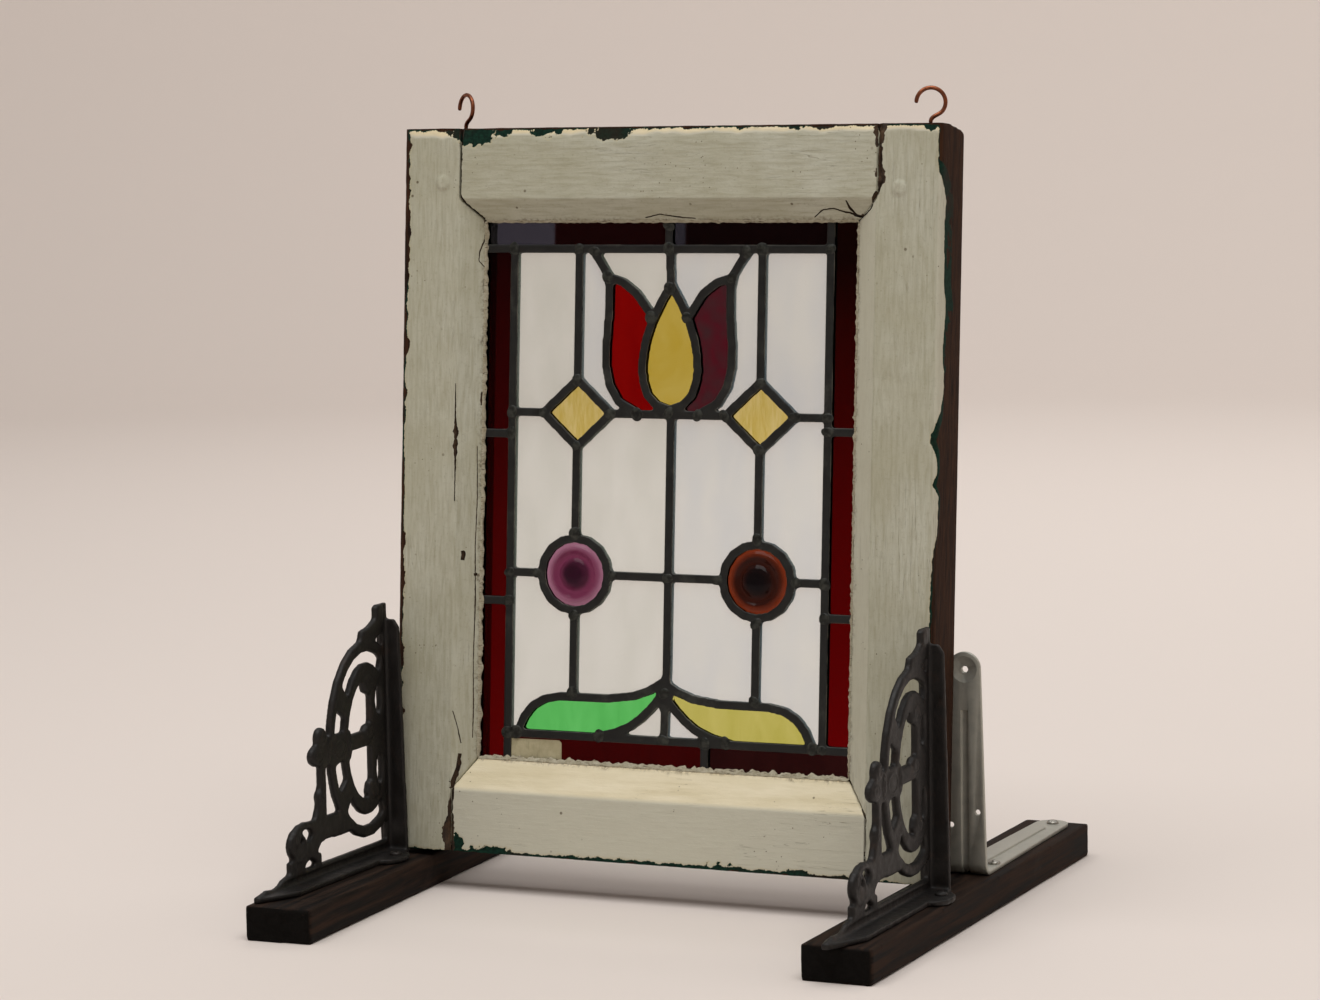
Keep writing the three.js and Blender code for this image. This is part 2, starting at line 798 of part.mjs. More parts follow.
function leadedWindow() {
  const window = new THREE.Group();
  window.add(
    piece("stile_left", stile("left"), PAINTED_WOOD),
    piece("stile_right", stile("right"), PAINTED_WOOD),
    piece("rail_top", rail("top"), PAINTED_WOOD),
    piece("rail_bottom", rail("bottom"), PAINTED_WOOD),
    piece("lead_cames", leadCames(), LEAD_LOOK),
    piece("glazing_putty", puttyFillet(), PUTTY_LOOK),
    piece("paper_label", paperLabel(), PAPER_LOOK),
    ...panes(),
    roundel("left", "#6e2d58"),
    roundel("right", "#4a1a0c"),
  );
  const hooks = [
    ["hook_left", -171, -35],
    ["hook_right", 193.6, 22],
  ];
  for (const [name, x, degrees] of hooks) {
    const hook = piece(name, wireHook(), WIRE_LOOK);
    hook.position.set(x, SASH.depth / 2, SASH.height + GAP);
    hook.rotation.z = THREE.MathUtils.degToRad(degrees);
    window.add(hook);
  }
  // the sash stands on its back bottom edge
  window.rotation.x = -LEAN;
  window.position.z = FOOT.height + SASH.depth * Math.sin(LEAN) + 0.2;
  return window;
}

function standSide(side) {
  const { corner, turn, ironX, steelX } = FEET[side];
  const stand = new THREE.Group();
  const foot = piece(`foot_${side}`, footBar(), BLACK_WOOD);
  foot.position.set(corner[0], corner[1], 0);
  foot.rotation.z = THREE.MathUtils.degToRad(turn);
  stand.add(foot);

  const iron = new THREE.Group();
  iron.position.set(ironX, -GAP, FOOT.height);
  iron.rotation.z = THREE.MathUtils.degToRad(IRON_TURN);
  iron.add(piece(`iron_bracket_${side}`, ironBracket(), CAST_IRON));
  const lugScrew = piece(`screw_iron_${side}`, screwHead(), STEEL_LOOK);
  lugScrew.position.set(16.5, -22, FLANGE.thickness);
  iron.add(lugScrew);
  stand.add(iron);

  const steel = new THREE.Group();
  const touch = SASH.depth * Math.cos(LEAN) + STEEL.height * Math.tan(LEAN);
  steel.position.set(steelX, touch + GAP, FOOT.height);
  steel.rotation.z = THREE.MathUtils.degToRad(turn);
  steel.add(piece(`steel_bracket_${side}`, steelBracket(), STEEL_LOOK));
  const screws = [
    ["front", 10, 33],
    ["back", 1.5, 189],
  ];
  for (const [name, x, y] of screws) {
    const screw = piece(`screw_steel_${side}_${name}`, screwHead(), STEEL_LOOK);
    screw.position.set(x, y, STEEL.thickness);
    steel.add(screw);
  }
  stand.add(steel);
  return stand;
}

const part = new THREE.Group();
part.add(leadedWindow(), standSide("left"), standSide("right"));
part.updateMatrixWorld(true);
const whole = new THREE.Box3().setFromObject(part, true);
const centre = whole.getCenter(new THREE.Vector3());
part.position.set(-centre.x, -centre.y, -whole.min.z);

export default part;
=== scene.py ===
"""A small leaded window in a painted timber sash, leaning back on a two-footed stand."""

from math import cos, pi, radians, sin, sqrt

import bpy
import numpy as np
from mathutils import Matrix, Vector, noise
from mathutils.kdtree import KDTree


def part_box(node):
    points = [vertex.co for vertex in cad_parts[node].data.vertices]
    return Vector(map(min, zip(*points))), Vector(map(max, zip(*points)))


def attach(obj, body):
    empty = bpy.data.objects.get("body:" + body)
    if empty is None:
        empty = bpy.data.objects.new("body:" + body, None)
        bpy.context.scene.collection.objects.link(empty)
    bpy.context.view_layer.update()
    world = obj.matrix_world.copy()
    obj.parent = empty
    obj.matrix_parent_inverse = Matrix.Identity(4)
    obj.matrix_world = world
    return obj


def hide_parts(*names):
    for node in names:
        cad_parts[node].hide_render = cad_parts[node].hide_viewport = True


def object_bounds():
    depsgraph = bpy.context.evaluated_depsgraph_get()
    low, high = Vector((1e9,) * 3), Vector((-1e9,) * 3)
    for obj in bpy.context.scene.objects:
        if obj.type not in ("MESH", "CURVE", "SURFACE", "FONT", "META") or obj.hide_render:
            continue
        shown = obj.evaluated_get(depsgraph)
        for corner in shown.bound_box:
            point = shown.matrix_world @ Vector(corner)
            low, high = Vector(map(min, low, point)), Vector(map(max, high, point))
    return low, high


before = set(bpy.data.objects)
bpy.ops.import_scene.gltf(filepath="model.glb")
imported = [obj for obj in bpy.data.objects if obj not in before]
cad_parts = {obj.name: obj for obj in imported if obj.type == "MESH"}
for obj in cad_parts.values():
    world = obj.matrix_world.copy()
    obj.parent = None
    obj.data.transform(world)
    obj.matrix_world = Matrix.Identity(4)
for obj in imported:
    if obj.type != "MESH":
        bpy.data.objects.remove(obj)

cad_box = [list(corner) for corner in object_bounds()]

# ---- Feet ----
# Two lengths of sawn batten, stained black all over and laid on the table. The grain runs along
# them, and the ends show the rings.


def rgb(red, green, blue):
    """A colour named as it looks on a screen, 0 to 255, made linear."""
    shares = [value / 255 for value in (red, green, blue)]
    return [s / 12.92 if s <= 0.04045 else ((s + 0.055) / 1.055) ** 2.4 for s in shares] + [1]


class Flow:
    """The value of one socket in a material, on its way to the shader."""

    def __init__(self, socket):
        self.socket = socket

    def node(self, kind, settings=(), inputs=(), output=0):
        """Adds a node: its settings, then the values or links of its sockets."""
        tree = self.socket.id_data
        made = tree.nodes.new("ShaderNode" + kind)
        for name, value in dict(settings).items():
            setattr(made, name, value)
        for name, value in dict(inputs).items():
            if isinstance(value, Flow):
                tree.links.new(value.socket, made.inputs[name])
            else:
                made.inputs[name].default_value = value
        return Flow(made.outputs[output])

    def math(self, operation, first, second=0.0):
        """Adds a Math node on numbers or on values like this one."""
        return self.node("Math", {"operation": operation}, {0: first, 1: second})

    def __add__(self, other):
        return self.math("ADD", self, other)

    __radd__ = __add__

    def __sub__(self, other):
        return self.math("SUBTRACT", self, other)

    def __rsub__(self, other):
        return self.math("SUBTRACT", other, self)

    def __mul__(self, other):
        return self.math("MULTIPLY", self, other)

    __rmul__ = __mul__

    def __abs__(self):
        return self.math("ABSOLUTE", self)

    def ramp(self, low, high, start=0.0, end=1.0):
        """start below low, end above high, and a straight run between."""
        sockets = {"Value": self, "From Min": low, "From Max": high, "To Min": start, "To Max": end}
        return self.node("MapRange", {"clamp": True}, sockets)

    def most(self, other):
        return self.math("MAXIMUM", self, other)

    def least(self, other):
        return self.math("MINIMUM", self, other)

    def tint(self, under, over):
        """Colour under where this mask is 0 and colour over where it is 1."""
        return self.node("Mix", {"data_type": "RGBA"}, {0: self, 6: under, 7: over}, output=2)

    def parts(self):
        split = self.node("SeparateXYZ", inputs={0: self}).socket.node
        return [Flow(socket) for socket in split.outputs]

    def stretched(self, scale):
        return self.node("Mapping", {"vector_type": "POINT"}, {"Vector": self, "Scale": scale})

    def noise(self, scale, detail=3.0, roughness=0.5, distortion=0.0):
        sockets = {
            "Vector": self,
            "Scale": scale,
            "Detail": detail,
            "Roughness": roughness,
            "Distortion": distortion,
        }
        return self.node("TexNoise", {"noise_dimensions": "3D"}, sockets)

    def spots(self, scale):
        """How far each place is from the nearest of many scattered points."""
        sockets = {"Vector": self, "Scale": scale, "Randomness": 1.0}
        return self.node("TexVoronoi", {"feature": "F1"}, sockets, "Distance")

    def layer(self, name):
        """A number that the mesh carries at each of its corners."""
        return self.node("Attribute", {"attribute_name": name}, output="Fac")

    def bump(self, strength, distance):
        sockets = {"Height": self, "Strength": strength, "Distance": distance}
        return self.node("Bump", inputs=sockets)


def material(name):
    """A new material, its shader node and the object's own coordinates, in metres."""
    made = bpy.data.materials.new(name)
    made.use_nodes = True
    shader = made.node_tree.nodes["Principled BSDF"]
    place = made.node_tree.nodes.new("ShaderNodeTexCoord")
    return made, shader, Flow(place.outputs["Object"])


def wire(shader, **values):
    """Sets or links the shader's sockets; an underscore in a name stands for a space."""
    for name, value in values.items():
        socket = shader.inputs[name.replace("_", " ")]
        if isinstance(value, Flow):
            shader.id_data.links.new(value.socket, socket)
        else:
            socket.default_value = value


def stained_timber():
    made, shader, place = material("stained_timber")
    grain = place.stretched((170, 7, 170)).noise(1.0, 5, 0.6, 0.6)
    pores = place.stretched((700, 22, 700)).noise(1.0, 2, 0.6)
    wear = place.noise(26, 4, 0.65)
    streaks = grain.ramp(0.42, 0.62)
    colour = streaks.tint(rgb(16, 12, 10), rgb(52, 38, 30))
    colour = (wear.ramp(0.58, 0.75) * 0.5).tint(colour, rgb(58, 45, 36))
    sawn = place.layer("end_grain")
    colour = sawn.ramp(0.5, 0.9).tint(colour, pores.tint(rgb(4, 3, 2), rgb(16, 13, 10)))
    wire(
        shader,
        Base_Color=colour,
        Roughness=streaks.ramp(0, 1, 0.68, 0.85),
        Specular_IOR_Level=0.1,
        Normal=(grain * 0.6 + pores * 0.4).bump(0.55, 0.0012),
    )
    return made


def alone(*pieces):
    """Selects these objects and no others, the first one active."""
    if bpy.context.mode != "OBJECT":
        bpy.ops.object.mode_set(mode="OBJECT")
    bpy.ops.object.select_all(action="DESELECT")
    for piece in pieces:
        piece.select_set(True)
    bpy.context.view_layer.objects.active = pieces[0]


def opened(piece):
    """Opens the piece in edit mode with its whole mesh selected."""
    alone(piece)
    bpy.ops.object.mode_set(mode="EDIT")
    bpy.ops.mesh.select_all(action="SELECT")


def linked(name, data):
    """A new object on this data, in the scene."""
    made = bpy.data.objects.new(name, data)
    bpy.context.scene.collection.objects.link(made)
    return made


def copy_of(node, name):
    """A new piece on a merged copy of a CAD node's mesh, flat faces made whole."""
    piece = linked(name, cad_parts[node].data.copy())
    opened(piece)
    bpy.ops.mesh.remove_doubles(threshold=2e-5)
    bpy.ops.mesh.dissolve_limited(angle_limit=radians(0.6))
    bpy.ops.object.mode_set(mode="OBJECT")
    return piece


def modified(piece, kind, **settings):
    """Adds a modifier and applies it."""
    alone(piece)
    modifier = piece.modifiers.new(kind.lower(), kind)
    for name, value in settings.items():
        setattr(modifier, name, value)
    bpy.ops.object.modifier_apply(modifier=modifier.name)


def smooth(piece, angle):
    """Shades the piece as smooth except at edges sharper than this many degrees."""
    alone(piece)
    bpy.ops.object.shade_smooth_by_angle(angle=radians(angle))


def fitted(piece, slot, finish, *nodes):
    """A finished piece: its finish, its body and the CAD nodes that it stands for, hidden; slot is
    not used.
    """
    piece.data.materials.clear()
    piece.data.materials.append(finish)
    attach(piece, "root")
    if nodes:
        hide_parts(*nodes)


def vertices(piece):
    """The piece's corners in millimetres, and which way the surface faces at each."""
    places = np.empty(len(piece.data.vertices) * 3)
    facing = np.empty(len(piece.data.vertices) * 3)
    piece.data.vertices.foreach_get("co", places)
    piece.data.vertex_normals.foreach_get("vector", facing)
    return places.reshape(-1, 3) * 1000, facing.reshape(-1, 3)


def set_vertices(piece, places):
    """Moves the piece's corners to these places, in millimetres."""
    piece.data.vertices.foreach_set("co", (places / 1000).ravel())
    piece.data.update()


def write_layer(piece, name, values):
    """Writes a number at each corner of the mesh, for its material to read."""
    made = piece.data.attributes.new(name, "FLOAT", "POINT")
    made.data.foreach_set("value", values.astype(np.float32))


def lumps(places, size, seed, octaves=3):
    """Soft lumps about that many millimetres across: a number from about -1 to 1 at each place."""
    shift = Vector((seed, 2 * seed, 3 * seed))
    return np.array([noise.fractal(Vector(p) / size + shift, 0.8, 2.0, octaves) for p in places])


timber = stained_timber()
for side in ("left", "right"):
    foot = copy_of(f"foot_{side}", f"batten_{side}")
    modified(foot, "REMESH", mode="VOXEL", voxel_size=0.002, use_smooth_shade=True)
    places, facing = vertices(foot)
    write_layer(foot, "end_grain", np.abs(facing[:, 1]))
    # raised fibres along the grain, and nicks where the faces meet
    fibres = lumps(places * (1, 0.06, 1), 5, 2)
    nicks = np.clip(lumps(places, 9, 6) - 0.45, 0, 1)
    corner = np.clip(0.87 - np.abs(facing).max(axis=1), 0, 1)
    set_vertices(foot, places - facing * (0.12 + 0.12 * fibres + 3 * nicks * corner)[:, None])
    smooth(foot, 50)
    fitted(foot, "stained_timber", timber, f"foot_{side}")

# ---- Cast-iron brackets ----
# Two openwork shelf brackets cast in iron: ovals crossed by a collar, a C scroll and a pointed toe,
# with a flange against the sash and a sole on the foot. Their edges are soft, as on any casting.


def cast_iron():
    made, shader, place = material("cast_iron")
    sand = place.noise(900, 3, 0.6)
    swells = place.noise(120, 3, 0.55)
    rust = place.noise(70, 5, 0.7).ramp(0.55, 0.72)
    wire(
        shader,
        Base_Color=(rust * 0.6).tint(rgb(27, 24, 22), rgb(54, 40, 31)),
        Metallic=0.35,
        Roughness=swells.ramp(0.3, 0.7, 0.42, 0.62),
        Normal=(sand * 0.4 + swells * 0.6).bump(0.5, 0.0009),
    )
    return made


def ball(placing, segments, rings):
    """A ball one metre in radius, put through a matrix."""
    bpy.ops.object.select_all(action="DESELECT")
    bpy.ops.mesh.primitive_uv_sphere_add(segments=segments, ring_count=rings, radius=1)
    made = bpy.context.object
    made.data.transform(placing)
    return made


def on_web(forward, up):
    """Puts a shape in the middle of the web, so many millimetres forward and up."""
    return Matrix.Translation((0, -forward * MM, up * MM))


def eye_ring():
    """The ring round the eye in the toe."""
    bpy.ops.object.select_all(action="DESELECT")
    bpy.ops.mesh.primitive_torus_add(
        major_radius=EYE["radius"] * MM,
        minor_radius=EYE["tube"] * MM,
        major_segments=32,
        minor_segments=12,
    )
    ring = bpy.context.object
    wider = Matrix.Diagonal((EYE["widened"], 1, 1, 1))
    ring.data.transform(on_web(*EYE["place"]) @ wider @ Matrix.Rotation(pi / 2, 4, "Y"))
    return ring


def softened(piece, times):
    """Rubs the mesh down, as wear or a sand mould does."""
    opened(piece)
    bpy.ops.mesh.vertices_smooth(factor=0.5, repeat=times)
    bpy.ops.object.mode_set(mode="OBJECT")


MM = 0.001
IRON_TURN = radians(-1.4)
# The sizes of a casting are in millimetres.
FLANGE_SIDE = 6.5
TOE_REACH = 186.24
WEB = {"half": 3, "from_flange": 8, "from_sole": 9}
BAR = {"half": 3.2, "rise": 0.9}
EYE = {"place": (136, 29), "radius": 9, "tube": 2.2, "widened": 1.2}
# Lumps of metal on the web: (forward, up), then half sizes (across, along, up).
BOSSES = [
    ((100, 103), (3.6, 5.5, 6.5)),
    ((106, 90), (3.8, 8, 6.5)),
    ((77, 91), (3.9, 12, 10)),
    ((62, 91), (4.4, 3.2, 10.5)),
    ((92, 91), (4.4, 3.2, 10.5)),
    ((33, 96), (3.6, 7, 7)),
    ((31, 132), (3.6, 7.5, 8)),
    ((27, 53), (3.6, 7.5, 8)),
    ((140, 36), (3.4, 6, 7)),
    ((104, 60), (3.2, 4, 6)),
]
iron = cast_iron()
for side in ("left", "right"):
    low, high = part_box(f"iron_bracket_{side}")
    casting = copy_of(f"iron_bracket_{side}", f"bracket_casting_{side}")
    # the casting's own frame: the back of its flange and the middle of its web are both at 0, and
    # the turn has swung the toe over to the low side
    web_middle = low.x + (FLANGE_SIDE + TOE_REACH * sin(-IRON_TURN)) * MM
    in_iron = Matrix.Translation((web_middle, high.y, low.z)) @ Matrix.Rotation(IRON_TURN, 4, "Z")
    casting.data.transform(in_iron.inverted())
    bosses = [
        ball(on_web(*place) @ Matrix.Diagonal([half * MM for half in halves] + [1]), 24, 14)
        for place, halves in BOSSES
    ]
    alone(casting, *bosses, eye_ring())
    bpy.ops.object.join()
    modified(casting, "REMESH", mode="VOXEL", voxel_size=0.001, use_smooth_shade=True)
    softened(casting, 2)
    places, facing = vertices(casting)
    # each bar of the web is raised to a half round by its distance from the bar's edge
    across, back, up = places.T
    web = (np.abs(across) < WEB["half"]) & (-back > WEB["from_flange"]) & (up > WEB["from_sole"])
    edge = web & (np.abs(facing[:, 0]) < 0.55)
    tree = KDTree(int(edge.sum()))
    for i, place in enumerate(places[edge]):
        tree.insert((0, place[1], place[2]), i)
    tree.balance()
    rise = np.zeros(len(places))
    for i in np.flatnonzero(web & ~edge):
        inwards = min(1, tree.find((0, back[i], up[i]))[2] / BAR["half"])
        rise[i] = BAR["rise"] * sqrt(1 - (1 - inwards) ** 2) * np.sign(across[i])
    places[:, 0] += rise
    set_vertices(casting, places)
    softened(casting, 2)
    places, facing = vertices(casting)
    set_vertices(casting, places + facing * (0.14 * lumps(places, 6, 4) - 0.12)[:, None])
    casting.data.transform(in_iron)
    smooth(casting, 60)
    fitted(casting, "cast_iron", iron, f"iron_bracket_{side}")

# ---- Steel brackets ----
# Two pressed angle brackets, each a strip of zinc-plated steel bent once, with a stiffening rib
# pressed along both arms and screw holes at the ends.


def pressed_steel():
    made, shader, place = material("pressed_steel")
    spangle = place.noise(160, 3, 0.6)
    dust = place.noise(40, 4, 0.7)
    colour = spangle.ramp(0.35, 0.65).tint(rgb(168, 168, 158), rgb(180, 179, 168))
    colour = (dust.ramp(0.5, 0.8) * 0.3).tint(colour, rgb(150, 144, 128))
    # the metal is dished round the top hole of each upright arm
    across, back, up = place.parts()
    nearest = 1.0
    for low, high in (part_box("steel_bracket_left"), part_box("steel_bracket_right")):
        off_across = across - (low.x + high.x) / 2
        off_up = up - (high.z - TOP_HOLE_DOWN)
        nearest = (off_across * off_across + off_up * off_up).least(nearest)
    dish = nearest.ramp(DISH["inner"] ** 2, DISH["outer"] ** 2)
    wire(
        shader,
        Base_Color=colour,
        Metallic=0.6,
        Roughness=spangle.ramp(0.3, 0.7, 0.42, 0.52),
        Normal=(spangle * 0.15 + dish * 2).bump(0.8, 0.001),
    )
    return made


# The sizes of the steel are in metres.
TOP_HOLE_DOWN = 0.0125
DISH = {"inner": 0.004, "outer": 0.0095}
EDGE = 0.0005
steel = pressed_steel()
for side in ("left", "right"):
    bracket = copy_of(f"steel_bracket_{side}", f"angle_bracket_{side}")
    modified(
        bracket, "BEVEL", width=EDGE, segments=2, limit_method="ANGLE", angle_limit=radians(30)
    )
    smooth(bracket, 40)
    fitted(bracket, "pressed_steel", steel, f"steel_bracket_{side}")


def screw_steel():
    made, shader, place = material("screw_steel")
    rub = place.noise(500, 3, 0.6)
    wire(
        shader,
        Base_Color=rub.ramp(0.3, 0.7).tint(rgb(120, 116, 108), rgb(190, 186, 176)),
        Metallic=0.9,
        Roughness=rub.ramp(0.3, 0.7, 0.3, 0.5),
    )
    return made


# One round head, a disc drawn up in steps, (inwards, up), to a low dome with a slot across it.
HEAD = {"radius": 0.0046, "rim": 0.0008}
DOME = [(0.0003, 0.0005), (0.0009, 0.0007), (0.0013, 0.0005), (0.0012, 0.00015)]
SLOT = {"width": 0.0011, "length": 0.011, "height": 0.0016, "middle": 0.0022}
bright = screw_steel()
bpy.ops.object.select_all(action="DESELECT")
bpy.ops.mesh.primitive_cylinder_add(vertices=40, radius=HEAD["radius"], depth=HEAD["rim"])
pattern = bpy.context.object
bpy.ops.object.mode_set(mode="EDIT")
bpy.ops.mesh.select_mode(type="FACE")
bpy.ops.mesh.select_all(action="DESELECT")
bpy.ops.object.mode_set(mode="OBJECT")
for face in pattern.data.polygons:
    face.select = face.normal.z > 0.9
bpy.ops.object.mode_set(mode="EDIT")
for inset, rise in DOME:
    bpy.ops.mesh.inset(thickness=inset, depth=0)
    bpy.ops.transform.translate(value=(0, 0, rise))
bpy.ops.object.mode_set(mode="OBJECT")
bpy.ops.object.select_all(action="DESELECT")
bpy.ops.mesh.primitive_cube_add(size=1)
slot_tool = bpy.context.object
slot_tool.data.transform(
    Matrix.Translation((0, 0, SLOT["middle"]))
    @ Matrix.Diagonal((SLOT["width"], SLOT["length"], SLOT["height"], 1))
)
modified(pattern, "BOOLEAN", operation="DIFFERENCE", solver="EXACT", object=slot_tool)
bpy.data.objects.remove(slot_tool)
for turn, node in enumerate(sorted(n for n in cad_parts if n.startswith("screw_"))):
    low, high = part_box(node)
    head = linked(node.replace("screw_", "screw_head_"), pattern.data.copy())
    middle = (low + high) / 2
    seat = Matrix.Translation((middle.x, middle.y, low.z + HEAD["rim"] / 2))
    head.data.transform(seat @ Matrix.Rotation(0.6 + 1.1 * turn, 4, "Z"))
    smooth(head, 35)
    fitted(head, "screw_steel", iron if "iron" in node else bright, node)
bpy.data.objects.remove(pattern)

# ---- Sash ----
# A timber sash of two stiles and two rails, mortised together, with a sloping moulding round the
# sight opening. It is painted off-white over dark green, flaked along the edges and split open at
# the joints, where the bare wood shows.

# Sizes and places are millimetres in the sash: across from its middle, and up from its foot.
LEAN = radians(4.7)
SASH = {"half_width": 211, "height": 534, "depth": 48}
FACE_OPENING = {"left": -163.5, "right": 163.5, "bottom": 46, "top": 481.5}
SIGHT = {"left": -146.5, "right": 145.5, "bottom": 70, "top": 465}
MOULDING_DEPTH = 12
GRAIN_OF_MESH = 0.0014

rail_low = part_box("rail_bottom")[0]
sash_middle = (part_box("stile_left")[0].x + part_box("stile_right")[1].x) / 2
sash_base = Vector((sash_middle, rail_low.y, rail_low.z + SASH["depth"] * MM * sin(LEAN)))
# a point in the sash, (across, back from its face, up from its bottom edge), to its place
in_sash = Matrix.Translation(sash_base) @ Matrix.Rotation(-LEAN, 4, "X")

# The splits, each a line of (across, up, half width) in millimetres of the sash.
SPLITS = {
    "top_left": [
        (-162.9, 537, 1.6),
        (-162.7, 520, 1.1),
        (-162.6, 503, 0.8),
        (-163, 484.5, 0.9),
        (-158.8, 477.6, 1.0),
        (-151.2, 470.6, 0.7),
        (-147.3, 467.5, 0.5),
    ],
    "top_left_moulding": [
        (-148.5, 468.5, 0.5),
        (-146.9, 462, 0.4),
        (-147.6, 452.2, 0.5),
        (-150.7, 442.3, 0.45),
        (-151.1, 436, 0.4),
        (-147.4, 431.9, 0.45),
        (-144.6, 427.6, 0.4),
        (-145.2, 400, 0.3),
    ],
    "top_right": [
        (164.6, 537, 6.0),
        (165, 530, 4.6),
        (164.1, 519.4, 2.6),
        (165.4, 511, 1.6),
        (165.6, 504, 1.9),
        (165.3, 498.7, 4.2),
        (166.6, 493.5, 2.8),
        (164.7, 487, 0.9),
        (162.2, 483, 2.0),
        (159.8, 479.2, 0.7),
        (157.7, 473.7, 0.6),
        (153.2, 470.4, 0.7),
        (148.6, 468.2, 1.3),
        (143, 469.8, 1.0),
    ],
    "top_right_arc": [
        (113, 468, 0.35),
        (120.8, 473.1, 0.45),
        (128.7, 474.1, 0.45),
        (136.7, 471.6, 0.6),
        (144, 470.1, 0.9),
    ],
    "top_right_star": [(139.6, 479.5, 0.5), (141, 474.5, 1.0), (146, 468.6, 0.8)],
    "top_middle": [(-18, 467.8, 0.4), (-6.2, 470.3, 0.45), (7.1, 468.4, 0.5), (21.2, 467.4, 0.4)],
    "bottom_left": [
        (-158.2, 72.5, 1.2),
        (-159.3, 62, 2.6),
        (-162.4, 51.6, 2.9),
        (-161.8, 44.7, 1.5),
        (-163.2, 36, 2.0),
        (-163.4, 26, 2.3),
        (-165.2, 17.3, 4.8),
        (-164.5, 7.5, 4.4),
        (-163.2, -3, 4.0),
    ],
    "left_knot": [
        (-164.3, 346, 0.35),
        (-164.3, 322, 0.6),
        (-163.8, 315, 1.2),
        (-163.1, 310.5, 2.6),
        (-163.6, 305.5, 1.1),
        (-163.8, 300, 2.2),
        (-163.8, 292, 0.9),
        (-163.8, 280, 0.5),
        (-163.9, 259, 0.45),
    ],
    "left_slit": [(-148.2, 340, 0.3), (-148, 335, 0.9), (-148.1, 330, 0.4)],
    "left_hole": [(-158.2, 222.5, 0.8), (-157.8, 219.5, 1.9), (-158.4, 215.5, 1.6)],
    "left_nail": [(-150.4, 206, 1.3), (-150, 204, 1.1)],
    "left_seam": [
        (-150.4, 300, 0.25),
        (-149.8, 262, 0.4),
        (-150.7, 225, 0.3),
        (-150.1, 186, 0.45),
        (-150.8, 140, 0.3),
        (-150.2, 108, 0.45),
        (-150.6, 84, 0.3),
    ],
    "bottom_right": [
        (146.2, 71, 0.5),
        (150.4, 64, 0.6),
        (158.6, 53, 0.5),
        (163.4, 45, 0.9),
        (163.7, 30, 0.5),
        (163.2, 14, 0.8),
        (163.8, -3, 0.6),
    ],
    "left_lower_check": [(-163, 104, 0.3), (-160, 93, 0.4), (-157.6, 80, 0.4)],
}
# Places where the top coat is gone down to the green: (across, up, half length, half height).
GREEN_PATCHES = [
    (-153, 530, 18, 9.5),
    (-128, 532, 7, 5),
    (-92, 531, 13, 4.5),
    (-42.7, 529.5, 16, 5.5),
    (101, 533, 6, 3.5),
    (123, 533, 7, 4),
    (203, 533, 8, 5),
    (-157.5, 6.5, 5, 7.5),
    (-128, 1, 16, 5.5),
    (52, 0, 16, 4.5),
    (112, 0, 12, 4.5),
]
# How far back the white reaches on the right-hand side, and the green behind it: (up, depth).
WHITE_ON_SIDE = [
    (150, -3),
    (200, -2),
    (234, 0.5),
    (246, 5),
    (272, 7),
    (280, -2),
    (291, 4),
    (302, 1.5),
    (311, -5),
    (320, -1.5),
    (333, 8),
    (351, 13.5),
    (375, 9.5),
    (407, 15.5),
    (420, 9.5),
    (460, 8.5),
    (480, 11),
    (492, 4),
    (500, -1.5),
    (534, -2),
]
GREEN_ON_SIDE = [
    (150, 2),
    (240, 3),
    (290, 6),
    (325, 9),
    (340, 4),
    (385, 6),
    (400, 15),
    (500, 17),
    (508, 1),
]
# The ends of the pins that hold the top joints, (across, up), stand a little proud.
DOWELS = [(180, 488), (-177.3, 493.2)]
DOWEL_RADIUS = 5.4


def moulding_depth(across, up):
    """How far the moulding has fallen back from the face, in millimetres."""
    shares = (
        (FACE_OPENING["right"] - across) / (FACE_OPENING["right"] - SIGHT["right"]),
        (across - FACE_OPENING["left"]) / (SIGHT["left"] - FACE_OPENING["left"]),
        (FACE_OPENING["top"] - up) / (FACE_OPENING["top"] - SIGHT["top"]),
        (up - FACE_OPENING["bottom"]) / (SIGHT["bottom"] - FACE_OPENING["bottom"]),
    )
    return MOULDING_DEPTH * min(1, max(0, min(shares)))


def shell(name, corners, faces):
    """A closed piece from its corners, in metres, and its faces, turned to face outwards."""
    mesh = bpy.data.meshes.new(name)
    mesh.from_pydata(corners, [], faces)
    made = linked(name, mesh)
    opened(made)
    bpy.ops.mesh.normals_make_consistent(inside=False)
    bpy.ops.object.mode_set(mode="OBJECT")
    return made


